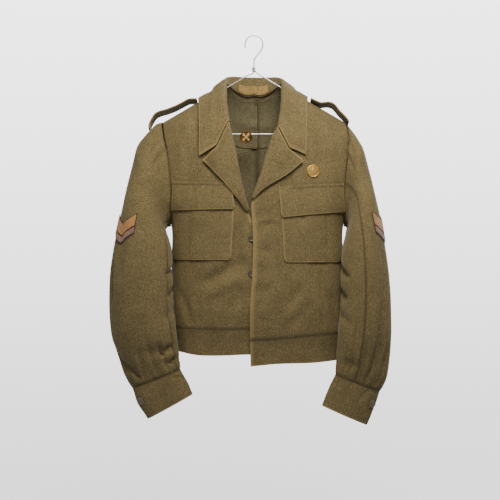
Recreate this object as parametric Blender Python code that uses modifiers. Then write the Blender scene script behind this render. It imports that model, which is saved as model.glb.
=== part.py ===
"""A short wool field jacket that hangs on a thin wire hanger.

Metres, +Z up. The front faces -Y, and the wearer's right is at -X. The origin is the
inside top of the hanger's hook, where the whole part hangs. Every cloth piece is a
sheet of points on one of the garment's surfaces (body, sleeve, cuff, collar), made
into a wall by Solidify. A piece that lies on another takes that surface's points,
moved out.
"""

import bmesh
import bpy
from math import asin, copysign, cos, pi, radians, sin, sqrt
from mathutils import Matrix, Vector

# Cloth
WOOL = 0.0020
COLLAR_CLOTH = 0.0024
TRIM = 0.0012
SEAM = 0.0004
ARMHOLE_SEAM = 0.0009
# More room at the top of the armhole, where the sleeve's wall turns over the shoulder
SLEEVE_HEAD_GAP = 0.0018
SLEEVE_SEAM = 0.0007
LAID = 0.0007

# Shoulder line, neck and armholes
SHOULDER_PEAK = -0.070
SHOULDER_SLOPE = 0.585
SHOULDER_ROUND = 0.160
ROUND_POWER = 2.2
NECK_HALF = 0.058
NECK_DEPTH = 0.0485
TIP_X = 0.191
PIT_Z = -0.400
# Turns round an armhole in degrees, from the shoulder down the front to the armpit. The
# row at 77 is the lower edge of the inner yoke, and the one at 3 keeps a seam's wall square.
ARM_TURNS = (0, 3, 26, 52, 77, 102, 127, 153, 180)
YOKE_ROW = 4
EDGE_TURN = 3
SIDE_ROWS = 8
# Shares of a body panel's width where its columns stand
PANEL_COLUMNS = (0, 0.03, 0.14, 0.25, 0.36, 0.47, 0.58, 0.69, 0.79, 0.89, 0.975, 1)
YOKE_COLUMNS = 10
# The yoke's first row starts this share of the way down to its second one, at the middle
# and over the hanger's arms. Its rows lie this far inside the back's wall.
YOKE_START = (0.30, 0.80)
YOKE_NECK = 0.035
YOKE_GAPS = (0.0026, 0.0026, 0.0010, 0.0005)
YOKE_MIDDLE_GAP = 0.0008
BODY_POWER = 2.4

# Body rings: height, centre x, half width, front depth, back depth
BODY = (
    (-0.700, 0.007, 0.176, 0.070, 0.064),
    (-0.650, 0.007, 0.177, 0.072, 0.066),
    (-0.615, 0.007, 0.180, 0.078, 0.071),
    (-0.570, 0.007, 0.182, 0.082, 0.074),
    (-0.470, 0.007, 0.180, 0.079, 0.072),
    (-0.400, 0.007, 0.180, 0.077, 0.070),
    (-0.330, 0.007, 0.199, 0.074, 0.068),
    (-0.250, 0.004, 0.208, 0.069, 0.066),
    (-0.180, 0.000, 0.212, 0.064, 0.064),
    (-0.060, 0.000, 0.214, 0.060, 0.062),
)
RING_X, RING_HALF, RING_FRONT, RING_BACK = 1, 2, 3, 4

# Armhole seams seen from the front: height, x
ARMHOLE = {
    "right": (
        (-0.400, -0.1740),
        (-0.375, -0.1712),
        (-0.342, -0.1710),
        (-0.297, -0.1740),
        (-0.252, -0.1787),
        (-0.217, -0.1860),
        (-0.1817, -0.1910),
    ),
    "left": (
        (-0.400, 0.1880),
        (-0.365, 0.1860),
        (-0.320, 0.1870),
        (-0.288, 0.1900),
        (-0.242, 0.1960),
        (-0.206, 0.1965),
        (-0.1817, 0.1910),
    ),
}

# Inner edge of each front, from its hem up the closure and the roll to the neck: height, x
FRONT_EDGE = {
    "right": (
        (-0.700, 0.0300),
        (-0.470, 0.0300),
        (-0.430, 0.0150),
        (-0.388, -0.0030),
        (-0.349, -0.0145),
        (-0.307, -0.0252),
        (-0.261, -0.0345),
        (-0.205, -0.0455),
        (-0.1845, -0.0511),
        (-0.150, -0.0550),
        (-0.104, -0.0580),
    ),
    "left": (
        (-0.700, -0.0060),
        (-0.634, -0.0082),
        (-0.554, -0.0080),
        (-0.492, -0.0037),
        (-0.421, -0.0023),
        (-0.353, -0.0064),
        (-0.342, -0.0045),
        (-0.3165, 0.0041),
        (-0.289, 0.0150),
        (-0.243, 0.0279),
        (-0.216, 0.0371),
        (-0.1955, 0.0475),
        (-0.150, 0.0550),
        (-0.104, 0.0580),
    ),
}

# Waist seam and hem: x, waist seam height, hem height
WAIST = {
    "right": (
        (-0.177, -0.6110, -0.6590),
        (-0.156, -0.6115, -0.6600),
        (-0.1115, -0.6120, -0.6664),
        (-0.0105, -0.6120, -0.6642),
        (0.030, -0.6120, -0.6642),
    ),
    "left": (
        (-0.008, -0.6347, -0.6880),
        (0.047, -0.6320, -0.6830),
        (0.119, -0.6255, -0.6815),
        (0.171, -0.6232, -0.6780),
        (0.191, -0.6225, -0.6770),
    ),
    "back": (
        (-0.177, -0.6110, -0.6590),
        (0.007, -0.6170, -0.6690),
        (0.191, -0.6225, -0.6770),
    ),
}

# Heights near the middle of the waist seam and the hem, and the centre back seam
WAIST_MIDDLE = -0.625
HEM_MIDDLE = -0.670
CENTRE_BACK = 0.0075

# The right front passes under the left one
UNDERLAP = 0.0062
UNDERLAP_START = -0.062
UNDERLAP_FULL = -0.022
UNDERLAP_TOP = -0.310
UNDERLAP_BELOW = -0.370

# Sleeve rings, from the armhole to the cuff:
# place, outer x, outer y, outer z, inner x, inner y, inner z, half depth
SLEEVE = {
    "right": (
        (0, -0.1910, 0.000, -0.1817, -0.1740, 0.000, -0.4000, 0.038),
        (1, -0.2045, -0.002, -0.1845, -0.1800, -0.003, -0.4010, 0.044),
        (2, -0.2160, -0.004, -0.1965, -0.1820, -0.008, -0.4030, 0.048),
        (3, -0.2280, -0.006, -0.2100, -0.1835, -0.014, -0.4050, 0.050),
        (4, -0.2440, -0.009, -0.2335, -0.1840, -0.022, -0.4090, 0.051),
        (5, -0.2540, -0.013, -0.2740, -0.1810, -0.033, -0.4150, 0.052),
        (6, -0.2650, -0.030, -0.3260, -0.1760, -0.045, -0.4260, 0.052),
        (7, -0.2757, -0.038, -0.3810, -0.1705, -0.055, -0.4460, 0.052),
        (8, -0.2865, -0.044, -0.4330, -0.1675, -0.060, -0.4750, 0.052),
        (9, -0.2940, -0.047, -0.4780, -0.1670, -0.062, -0.5070, 0.051),
        (10, -0.2975, -0.049, -0.5250, -0.1660, -0.062, -0.5410, 0.050),
        (11, -0.2975, -0.050, -0.5740, -0.1640, -0.062, -0.5760, 0.048),
        (12, -0.2930, -0.050, -0.6240, -0.1600, -0.062, -0.6120, 0.044),
        (13, -0.2815, -0.050, -0.6610, -0.1565, -0.061, -0.6430, 0.037),
        (14, -0.2680, -0.050, -0.7020, -0.1530, -0.060, -0.6690, 0.028),
        (15, -0.2515, -0.050, -0.7325, -0.1520, -0.059, -0.6937, 0.019),
    ),
    "left": (
        (0, 0.1910, 0.000, -0.1817, 0.1880, 0.000, -0.4000, 0.038),
        (1, 0.1985, -0.002, -0.1900, 0.1945, -0.004, -0.4010, 0.043),
        (2, 0.2080, -0.004, -0.2030, 0.1950, -0.009, -0.4030, 0.047),
        (3, 0.2170, -0.006, -0.2165, 0.1950, -0.015, -0.4050, 0.050),
        (4, 0.2280, -0.009, -0.2370, 0.1940, -0.024, -0.4090, 0.051),
        (5, 0.2375, -0.013, -0.2750, 0.1910, -0.035, -0.4150, 0.052),
        (6, 0.2485, -0.030, -0.3270, 0.1870, -0.046, -0.4260, 0.053),
        (7, 0.2590, -0.038, -0.3810, 0.1825, -0.055, -0.4460, 0.054),
        (8, 0.2670, -0.044, -0.4330, 0.1800, -0.060, -0.4750, 0.055),
        (9, 0.2745, -0.047, -0.4780, 0.1790, -0.062, -0.5070, 0.055),
        (10, 0.2795, -0.049, -0.5250, 0.1790, -0.062, -0.5410, 0.054),
        (11, 0.2815, -0.050, -0.5740, 0.1770, -0.062, -0.5800, 0.052),
        (12, 0.2820, -0.050, -0.6240, 0.1730, -0.062, -0.6180, 0.047),
        (13, 0.2795, -0.050, -0.6660, 0.1700, -0.061, -0.6500, 0.039),
        (14, 0.2730, -0.050, -0.7100, 0.1680, -0.060, -0.6780, 0.029),
        (15, 0.2595, -0.050, -0.7395, 0.1670, -0.059, -0.7045, 0.019),
    ),
}
SLEEVE_END = 15
SLEEVE_BLEND = 1.5
SLEEVE_RINGS = (0, 0.6, 1.2, 1.8, 2.5, 3.2, 4, 5, 6, 7, 8, 9, 10, 11, 12, 12.7, 13.3, 13.9, 14.5, 15)
# Turns in degrees where the seams between the top and the under sleeve run
FRONT_SEAM = {"right": 153, "left": 102}
BACK_SEAM = 258

# The deepest creases of the sleeves:
# place, angle round the ring, half length in place, half width in degrees, depth
SLEEVE_CREASES = {
    "right": (
        (1.6, 62, 1.6, 26, 0.0035),
        (13.2, 120, 0.55, 50, 0.0060),
        (14.1, 150, 0.40, 55, 0.0045),
        (13.9, 40, 0.45, 34, 0.0045),
        (10.4, 165, 0.9, 30, 0.0040),
    ),
    "left": (
        (1.7, 58, 1.5, 26, 0.0035),
        (13.0, 52, 1.6, 22, 0.0045),
        (13.9, 128, 0.50, 44, 0.0050),
        (10.6, 160, 1.0, 28, 0.0035),
    ),
}

# Cuff rings: place, outer x, outer y, outer z, inner x, inner y, inner z, half depth
CUFF = {
    "right": (
        (0, -0.2507, -0.050, -0.7332, -0.1516, -0.059, -0.6943, 0.0180),
        (1, -0.2395, -0.051, -0.7655, -0.1390, -0.060, -0.7160, 0.0170),
        (2, -0.2185, -0.052, -0.7970, -0.1255, -0.060, -0.7450, 0.0165),
    ),
    "left": (
        (0, 0.2587, -0.050, -0.7402, 0.1666, -0.059, -0.7051, 0.0180),
        (1, 0.2495, -0.051, -0.7680, 0.1540, -0.060, -0.7310, 0.0170),
        (2, 0.2320, -0.052, -0.8095, 0.1385, -0.061, -0.7680, 0.0165),
    ),
}
CUFF_END = 2
CUFF_ROWS = 4

# Collar stations from the right front to the left front:
# place, fold x, fold y, fold z, leaf edge x, leaf edge y, leaf edge z, height off the body
COLLAR = (
    (0, -0.0530, -0.0618, -0.1835, -0.1130, -0.0680, -0.2570, 0.0046),
    (1, -0.0570, -0.0480, -0.1500, -0.1135, -0.0560, -0.2000, 0.0050),
    (2, -0.0583, -0.0250, -0.1150, -0.1140, -0.0300, -0.1500, 0.0052),
    (3, -0.0588, 0.0060, -0.0900, -0.1110, 0.0120, -0.1330, 0.0052),
    (4, -0.0470, 0.0350, -0.0810, -0.0900, 0.0560, -0.1450, 0.0045),
    (5, -0.0250, 0.0480, -0.0800, -0.0480, 0.0800, -0.1500, 0.0035),
    (6, 0.0010, 0.0520, -0.0804, 0.0030, 0.0850, -0.1510, 0.0030),
    (7, 0.0260, 0.0480, -0.0810, 0.0520, 0.0800, -0.1500, 0.0035),
    (8, 0.0470, 0.0350, -0.0824, 0.0900, 0.0560, -0.1440, 0.0045),
    (9, 0.0584, 0.0060, -0.0920, 0.1075, 0.0120, -0.1310, 0.0052),
    (10, 0.0580, -0.0250, -0.1170, 0.1090, -0.0300, -0.1480, 0.0052),
    (11, 0.0560, -0.0480, -0.1560, 0.1085, -0.0560, -0.1980, 0.0050),
    (12, 0.0495, -0.0618, -0.1957, 0.1070, -0.0680, -0.2545, 0.0046),
)
COLLAR_END = 12
COLLAR_COLUMNS = 26
SHOULDER_PLACE = 3
STAND_INSET = 0.0010
STAND_LIFT = 0.0034
STAND_ROWS = 3
LEAF_SHARES = (0.07, 0.24, 0.42, 0.60, 0.80, 1.0)
# The collar's front ends bend down to the gorge, where the lapel's notch opens:
# share of the way from the fold to the leaf's point, drop below the straight line
GORGE = {"right": (0.40, 0.0232), "left": (0.375, 0.0230)}

# Lapels: roll foot height and top height, then the outer edge from foot to tip (x, z)
LAPEL = {
    "right": {
        "foot": -0.3680,
        "top": -0.1875,
        "edge": ((-0.0155, -0.3700), (-0.0325, -0.3470), (-0.0661, -0.3061), (-0.1050, -0.2655)),
    },
    "left": {
        "foot": -0.3440,
        "top": -0.1975,
        "edge": ((0.0005, -0.3440), (0.0240, -0.3222), (0.0660, -0.2965), (0.1012, -0.2680)),
    },
}
LAPEL_ROWS = 9
NOTCH = {"right": (0.456, 0.0152), "left": (0.41, 0.0151)}
# Section of the rolled edge: distance out from the roll, height over the front
ROLL = ((0.0042, 0.0009), (0.0010, 0.0012), (0.0000, 0.0042), (0.0012, 0.0072), (0.0050, 0.0086))
# The front's edge stands back behind the roll, from this far below the roll's foot
ROLL_INSET = 0.0046
ROLL_RAMP = {"right": 0.034, "left": 0.012}
LAPEL_HEIGHT = 0.0086
LAPEL_EDGE_HEIGHT = 0.0076
LAPEL_COLUMNS = 6

# Pockets: height, inner x, outer x; pleat lines at top and bottom
POCKET = {
    "right": {
        "top": (-0.3560, -0.0412, -0.1668),
        "bottom": (-0.4700, -0.0473, -0.1664),
        "pleat": ((-0.0879, -0.1264), (-0.0937, -0.1299)),
    },
    "left": {
        "top": (-0.3680, 0.0552, 0.1825),
        "bottom": (-0.4750, 0.0612, 0.1800),
        "pleat": ((0.1040, 0.1436), (0.1111, 0.1487)),
    },
}
POCKET_ROWS = 5
PLEAT_RISE = 0.0014

# Flaps: inner top, outer top, inner bottom, outer bottom (x, z)
FLAP = {
    "right": ((-0.0450, -0.3115), (-0.1672, -0.3065), (-0.0412, -0.3665), (-0.1668, -0.3673)),
    "left": ((0.0500, -0.3180), (0.1836, -0.3105), (0.0552, -0.3838), (0.1830, -0.3700)),
}
# Rows of a flap: share of its height, height off the front
FLAP_ROWS = (
    (0.00, 0.0007),
    (0.04, 0.0018),
    (0.09, 0.0018),
    (0.13, 0.0008),
    (0.22, 0.0014),
    (0.45, 0.0030),
    (0.70, 0.0046),
    (1.00, 0.0052),
)
FLAP_COLUMNS = 8

# Shoulder straps along their top face: place, x, z
STRAP = {
    "right": (
        (0, -0.2206, -0.1985),
        (1, -0.2200, -0.1900),
        (2, -0.2155, -0.1795),
        (3, -0.2080, -0.1680),
        (4, -0.1990, -0.1622),
        (5, -0.1830, -0.1578),
        (6, -0.1646, -0.1508),
        (7, -0.1510, -0.1436),
        (8, -0.1360, -0.1362),
        (9, -0.1190, -0.1355),
    ),
    "left": (
        (0, 0.1990, -0.1835),
        (1, 0.1955, -0.1775),
        (2, 0.1890, -0.1705),
        (3, 0.1800, -0.1615),
        (4, 0.1715, -0.1505),
        (5, 0.1636, -0.1447),
        (6, 0.1545, -0.1428),
        (7, 0.1460, -0.1432),
        (8, 0.1370, -0.1430),
        (9, 0.1190, -0.1345),
    ),
}
STRAP_END = 9
STRAP_HALF = 0.022
STRAP_TILT = 0.0030
STRAP_CLOTH = 0.0030

# Chevrons on the sleeves: angle of the tip, half arc in degrees, top of the notch,
# tip height, rise of the outer end
CHEVRON = {
    "right": (44, 33, -0.3955, -0.4374, 0.021),
    "left": (30, 36, -0.3930, -0.4350, 0.021),
}
CHEVRON_COLUMNS = 10
CHEVRON_ROWS = 3

# Round pieces
BUTTON_RADIUS = 0.0083
BUTTON_THICKNESS = 0.0026
DISC_RADIUS = 0.0127
DISC_FIELD = 0.0016
DISC_RIM = 0.0026
ROUND_STEPS = 18

# Hanger
WIRE = 0.0013
HOOK_RADIUS = 0.0175
ARM_DROP = 0.0046
HANGER_HALF = 0.1765
BAR_Z = -0.2057


def slope(rows, i, column):
    before = rows[max(i - 1, 0)]
    after = rows[min(i + 1, len(rows) - 1)]
    return (after[column] - before[column]) / (after[0] - before[0])


def along(rows, key, column):
    """One column of a table as a smooth curve over its first column."""
    if key <= rows[0][0]:
        return rows[0][column]
    if key >= rows[-1][0]:
        return rows[-1][column]
    i = max(n for n in range(len(rows) - 1) if rows[n][0] <= key)
    low = rows[i]
    high = rows[i + 1]
    span = high[0] - low[0]
    t = (key - low[0]) / span
    value = low[column] * (1 + 2 * t) * (1 - t) ** 2
    value += high[column] * t * t * (3 - 2 * t)
    value += slope(rows, i, column) * span * t * (1 - t) ** 2
    value -= slope(rows, i + 1, column) * span * t * t * (1 - t)
    return value


def ease(t):
    """0 to 1 with level ends."""
    t = min(max(t, 0.0), 1.0)
    return t * t * (3 - 2 * t)


def mix(a, b, t):
    return a + (b - a) * t


def shoulder_height(x):
    return SHOULDER_PEAK - SHOULDER_SLOPE * abs(x)


def rounding(drop):
    """How full the body is at a drop below the shoulder line."""
    t = min(max(drop / SHOULDER_ROUND, 0.0), 1.0)
    return (1 - (1 - t) ** ROUND_POWER) ** (1 / ROUND_POWER)


def underlap(x, z):
    """How far the right front lies under the left one."""
    across = ease((x - UNDERLAP_START) / (UNDERLAP_FULL - UNDERLAP_START))
    down = ease((UNDERLAP_TOP - z) / (UNDERLAP_TOP - UNDERLAP_BELOW))
    return UNDERLAP * across * down


def body(angle, z, face):
    """Outer surface of the body: angle 0 at the middle, a quarter turn at the side."""
    turn = min(abs(angle), pi / 2)
    half = along(BODY, z, RING_HALF)
    x = along(BODY, z, RING_X) + copysign(half * sin(turn) ** (2 / BODY_POWER), angle)
    depth = along(BODY, z, RING_BACK if face == "back" else RING_FRONT)
    depth *= max(cos(turn), 0.0) ** (2 / BODY_POWER) * rounding(shoulder_height(x) - z)
    depth += SEAM / 2
    if face == "right":
        depth -= underlap(x, z)
    return Vector((x, depth if face == "back" else -depth, z))


def angle_at(x, z):
    """The body's angle at an x and a height."""
    reach = (x - along(BODY, z, RING_X)) / along(BODY, z, RING_HALF)
    return copysign(asin(min(abs(reach), 1.0) ** (BODY_POWER / 2)), reach)


def body_normal(angle, z, face):
    step = 0.004
    across = body(angle + step, z, face) - body(angle - step, z, face)
    up = body(angle, z + step, face) - body(angle, z - step, face)
    normal = across.cross(up).normalized()
    return -normal if face == "back" else normal


def on_body(x, z, face, lift):
    """A point of a front or the back, moved out by a lift."""
    angle = angle_at(x, z)
    return body(angle, z, face) + body_normal(angle, z, face) * lift


def fullness(p):
    """Below 0 inside the shoulders and chest, above 0 outside."""
    drop = 1 - (shoulder_height(p.x) - p.z) / SHOULDER_ROUND
    half = along(BODY, p.z, RING_HALF)
    side = max(1 - (abs(p.x) / half) ** BODY_POWER, 0.001) ** (1 / BODY_POWER)
    depth = along(BODY, p.z, RING_FRONT if p.y < 0 else RING_BACK) * side
    return ((abs(p.y) / depth) ** ROUND_POWER + max(drop, 0.0) ** ROUND_POWER) ** (1 / ROUND_POWER) - 1


def settle(p, height, only_out=False):
    """The point brought to a height over the shoulders."""
    step = 0.0005
    for _ in range(6):
        level = fullness(p)
        slant = Vector()
        for axis in range(3):
            probe = p.copy()
            probe[axis] += step
            slant[axis] = (fullness(probe) - level) / step
        distance = level / slant.length
        if only_out and distance >= height:
            return p
        p = p + slant.normalized() * (height - distance)
    return p


def armhole(side, turn):
    """Armhole seam: turn 0 at the shoulder, a half turn at the armpit. Gives x and z."""
    top = shoulder_height(TIP_X)
    z = mix(top, PIT_Z, (1 - cos(turn)) / 2)
    return along(ARMHOLE[side], z, 1), z


def neck_drop(x):
    """How far the back neck seam lies below the shoulder line."""
    inside = max(1 - (x / NECK_HALF) ** 2, 0.0)
    depth = NECK_DEPTH * sqrt(inside) / along(BODY, SHOULDER_PEAK, RING_BACK)
    return SHOULDER_ROUND * (1 - (1 - depth ** ROUND_POWER) ** (1 / ROUND_POWER))


def material(name, colour, roughness, metallic=0.0):
    made = bpy.data.materials.new(name)
    made.use_nodes = True
    shader = made.node_tree.nodes["Principled BSDF"]
    shader.inputs["Base Color"].default_value = (*colour, 1.0)
    shader.inputs["Roughness"].default_value = roughness
    shader.inputs["Metallic"].default_value = metallic
    return made


def add_object(name, mesh, look):
    mesh.materials.append(look)
    made = bpy.data.objects.new(name, mesh)
    PARTS.objects.link(made)
    return made


def sheet(name, rows, look, thickness, outward=False, ring=False):
    """A wall from a grid of points on its outer face, or its inner face if outward.

    Each row runs so that the next row lies to its right, seen from outside.
    """
    columns = len(rows[0])
    faces = []
    for i in range(len(rows) - 1):
        for k in range(columns if ring else columns - 1):
            n = (k + 1) % columns
            faces.append((i * columns + k, (i + 1) * columns + k, (i + 1) * columns + n, i * columns + n))
    mesh = bpy.data.meshes.new(name)
    mesh.from_pydata([p for row in rows for p in row], [], faces)
    mesh.shade_smooth()
    made = add_object(name, mesh, look)
    wall = made.modifiers.new("wall", "SOLIDIFY")
    wall.thickness = thickness
    wall.offset = 1.0 if outward else -1.0
    return made


def facing_out(rows, mirrored):
    """Rows turned round for a piece whose columns run the other way."""
    return [list(reversed(row)) for row in rows] if mirrored else rows


def panel_row(point_at):
    return [point_at(share) for share in PANEL_COLUMNS]


def seam_height(x, face):
    """Height of a panel's top edge: the shoulder seam, or the neck seam at the back."""
    return shoulder_height(x) - (neck_drop(x) if face == "back" else 0.0)


def upper_rows(side, face, edge):
    """The rows of a body panel from its shoulder seam to the level of the armpit."""
    rows = []
    for degrees_round in ARM_TURNS:
        turn = radians(degrees_round)
        fall = (1 - cos(turn)) / 2
        x_out, z_out = armhole(side, turn)
        z_in = PIT_Z
        for _ in range(6):
            z_in = mix(seam_height(edge(z_in), face), PIT_Z, fall)
        start = angle_at(edge(z_in), z_in)
        end = angle_at(x_out, z_out)
        slack = z_out - mix(seam_height(x_out, face), PIT_Z, fall)

        def point_at(u):
            angle = mix(start, end, u)
            z = mix(z_in, z_out, u)
            for _ in range(4):
                z = mix(seam_height(body(angle, z, face).x, face), PIT_Z, fall) + slack * u ** 4
            return body(angle, z, face)

        rows.append(panel_row(point_at))
    return rows


def front_rows(side):
    edge = front_edge(side)
    return upper_rows(side, side, edge) + side_rows(side, side, edge)


def back_rows(side):
    seam = CENTRE_BACK + copysign(SEAM / 2, ARMHOLE[side][0][1])
    return upper_rows(side, "back", lambda z: seam) + side_rows(side, "back", lambda z: seam)


def side_rows(side, face, edge):
    """The rows of a body panel below the armpit, which end at the side seam."""
    side_angle = copysign(pi / 2, ARMHOLE[side][0][1])
    rows = []
    for j in range(1, SIDE_ROWS + 1):
        v = j / SIDE_ROWS

        def point_at(u):
            z = mix(PIT_Z, WAIST_MIDDLE, v)
            angle = mix(angle_at(edge(z), z), side_angle, u)
            waist = along(WAIST[face], body(angle, z, face).x, 1) + SEAM / 2
            return body(angle, mix(PIT_Z, waist, v), face)

        rows.append(panel_row(point_at))
    return rows


def front_edge(side):
    inset = copysign(ROLL_INSET, ARMHOLE[side][0][1])
    foot = LAPEL[side]["foot"]

    def edge(z):
        return along(FRONT_EDGE[side], z, 1) + inset * ease((z - foot) / ROLL_RAMP[side] + 1)

    return edge


def make_body():
    for side in ("right", "left"):
        sheet(f"front_{side}", facing_out(front_rows(side), side == "right"), WOOL_LOOK, WOOL)
        sheet(f"back_{side}", facing_out(back_rows(side), side == "left"), WOOL_LOOK, WOOL)


def make_waistband():
    rows_down = 3
    for face in ("right", "left", "back"):
        side_angle = radians({"right": -90, "left": 90, "back": 90}[face])
        shares = PANEL_COLUMNS
        if face == "back":
            shares = [(1 - share) / 2 for share in reversed(PANEL_COLUMNS)]
            shares += [(1 + share) / 2 for share in PANEL_COLUMNS[1:]]
        rows = []
        for j in range(rows_down + 1):
            row = []
            for u in shares:
                z = mix(WAIST_MIDDLE, HEM_MIDDLE, j / rows_down)
                start = -side_angle if face == "back" else angle_at(along(FRONT_EDGE[face], z, 1), z)
                angle = mix(start, side_angle, u)
                x = body(angle, z, face).x
                seam = along(WAIST[face], x, 1) - SEAM / 2
                row.append(body(angle, mix(seam, along(WAIST[face], x, 2), j / rows_down), face))
            rows.append(row)
        sheet(f"waistband_{face}", facing_out(rows, face != "left"), WOOL_LOOK, WOOL)


def grid_normal(rows, i, k):
    """Normal of a grid of points at one of them."""
    across = rows[i][min(k + 1, len(rows[i]) - 1)] - rows[i][max(k - 1, 0)]
    down = rows[min(i + 1, len(rows) - 1)][k] - rows[max(i - 1, 0)][k]
    return down.cross(across).normalized()


def make_yoke():
    """Inner half-yoke: the back's own points down to across the shoulders, moved in."""
    for side in ("right", "left"):
        back = facing_out(back_rows(side), side == "left")
        inner = [None]
        for i in range(1, YOKE_ROW + 1):
            gap = WOOL + YOKE_GAPS[i - 1]
            row = [p - grid_normal(back, i, k) * gap for k, p in enumerate(back[i])]
            middle = row[-1] if side == "left" else row[0]
            middle.x = CENTRE_BACK + copysign(YOKE_MIDDLE_GAP, ARMHOLE[side][0][1])
            inner.append(row[-YOKE_COLUMNS:] if side == "left" else row[:YOKE_COLUMNS])
        first = []
        for top, low in zip(inner[1], inner[2]):
            start = mix(*YOKE_START, ease((abs(top.x) - YOKE_NECK) / YOKE_NECK))
            first.append(top.lerp(low, start))
        sheet(f"yoke_{side}", [first] + inner[2:], LINING_LOOK, TRIM)


def bend(share, corner):
    """A straight edge's drop where it bends at a corner: share of the way, drop."""
    at, drop = corner
    return drop * (share / at if share < at else (1 - share) / (1 - at))


def collar_foot(place):
    """Neck seam under the collar."""
    if place < SHOULDER_PLACE or place > COLLAR_END - SHOULDER_PLACE:
        side = "right" if place < SHOULDER_PLACE else "left"
        end = min(place, COLLAR_END - place) / SHOULDER_PLACE
        gorge = along(COLLAR, 0 if side == "right" else COLLAR_END, 3)
        z = mix(gorge, shoulder_height(NECK_HALF), sin(end * pi / 2))
        x = along(FRONT_EDGE[side], z, 1) + copysign(STAND_INSET, place - COLLAR_END / 2)
        edge = body(angle_at(x, z), z, side)
        edge.y *= cos(end * pi / 2) ** 0.4 if end > 0.9 else 1
        edge.z += STAND_LIFT * end
        return edge
    turn = pi * (place - SHOULDER_PLACE) / (COLLAR_END - 2 * SHOULDER_PLACE)
    x = -NECK_HALF * cos(turn)
    z = shoulder_height(x) - neck_drop(x) + STAND_LIFT
    return Vector((x, NECK_DEPTH * sin(turn), z))


def collar_fold(place):
    return Vector([along(COLLAR, place, n) for n in (1, 2, 3)])


def collar_stand(place, t):
    """Outer face of the stand: t 0 at the neck seam, 1 just short of the fold."""
    return collar_foot(place).lerp(collar_fold(place) - Vector((0, 0, 0.002)), t)


def collar_leaf(place, t):
    """Underside of the leaf: t 0 at the fold, 1 at its edge."""
    leaf = Vector([along(COLLAR, place, n) for n in (4, 5, 6)])
    height = along(COLLAR, place, 7)
    end = min(place, COLLAR_END - place)
    p = collar_fold(place).lerp(leaf, t)
    p.z -= bend(t, GORGE["right" if place < COLLAR_END / 2 else "left"]) * ease(1 - end / 1.2)
    p.z += 0.004 * sin(pi * t) * ease(end / 3)
    return settle(p, height, only_out=t < 0.5)


def make_collar():
    rows = []
    for k in range(COLLAR_COLUMNS + 1):
        place = COLLAR_END * k / COLLAR_COLUMNS
        row = [collar_stand(place, i / STAND_ROWS) for i in range(STAND_ROWS)]
        row.append(collar_stand(place, 0.97))
        row.append(collar_fold(place))
        for t in LEAF_SHARES:
            row.append(collar_leaf(place, t))
        rows.append(row)
    sheet("collar", rows, WOOL_LOOK, COLLAR_CLOTH, outward=True)


def make_neck_tape():
    rows = []
    for n in range(7):
        place = mix(4.75, 7.15, n / 6)
        row = []
        for t in (0.10, 0.33, 0.56):
            p = collar_stand(place, t)
            inward = Vector((-p.x, 0.0 - p.y, 0)).normalized()
            row.append(p + inward * (COLLAR_CLOTH + 2 * SEAM))
        rows.append(row)
    sheet("neck_tape", rows, TAPE_LOOK, TRIM, outward=True)


def lapel_row(side, w):
    """One row of a lapel, from the leg of its roll to the outer edge."""
    lapel = LAPEL[side]
    z = mix(lapel["foot"], lapel["top"], w)
    roll_x = along(FRONT_EDGE[side], z, 1)
    count = len(lapel["edge"])
    keyed = [(n / (count - 1), x, height) for n, (x, height) in enumerate(lapel["edge"])]
    out_x = along(keyed, w, 1)
    out_z = along(keyed, w, 2)
    length = sqrt((out_x - roll_x) ** 2 + (out_z - z) ** 2)
    size = min(1.0, 0.55 + length / 0.045)
    row = []
    stations = [(d * size * min(1.0, length / 0.014) / length, h * size) for d, h in ROLL]
    first = stations[-1][0]
    for n in range(1, LAPEL_COLUMNS + 1):
        t = mix(first, 1.0, n / LAPEL_COLUMNS)
        stations.append((t, mix(LAPEL_HEIGHT, LAPEL_EDGE_HEIGHT, t) * size))
    for t, height in stations:
        x = mix(roll_x, out_x, t)
        sag = bend(max(t, 0.0), NOTCH[side]) * w ** 3
        row.append(on_body(x, mix(z, out_z, t) - sag, side, height))
    return row


def make_lapels():
    for side in ("right", "left"):
        rows = [lapel_row(side, n / LAPEL_ROWS) for n in range(LAPEL_ROWS, -1, -1)]
        sheet(f"lapel_{side}", facing_out(rows, side == "right"), WOOL_LOOK, WOOL)


def make_pockets():
    for side in ("right", "left"):
        pocket = POCKET[side]
        marks = []
        for share in (0, 0.25, 0.5, 0.75, 0.97):
            marks.append(("inner", share, 0.0))
        for share in (0.03, 0.5, 0.97):
            marks.append(("pleat", share, PLEAT_RISE))
        for share in (0.03, 0.25, 0.45, 0.65, 0.83, 1.0):
            marks.append(("outer", share, 0.0))
        rows = []
        for j in range(POCKET_ROWS + 1):
            v = j / POCKET_ROWS
            z = mix(pocket["top"][0], pocket["bottom"][0], v)
            inner = mix(pocket["top"][1], pocket["bottom"][1], v)
            outer = mix(pocket["top"][2], pocket["bottom"][2], v)
            near = mix(pocket["pleat"][0][0], pocket["pleat"][1][0], v)
            far = mix(pocket["pleat"][0][1], pocket["pleat"][1][1], v)
            spans = {"inner": (inner, near), "pleat": (near, far), "outer": (far, outer)}
            row = []
            for span, share, rise in marks:
                start, end = [angle_at(x, z) for x in spans[span]]
                angle = mix(start, end, share)
                row.append(body(angle, z, side) + body_normal(angle, z, side) * (LAID + rise))
            rows.append(row)
        sheet(f"pocket_{side}", facing_out(rows, side == "right"), WOOL_LOOK, WOOL, outward=True)


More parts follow.
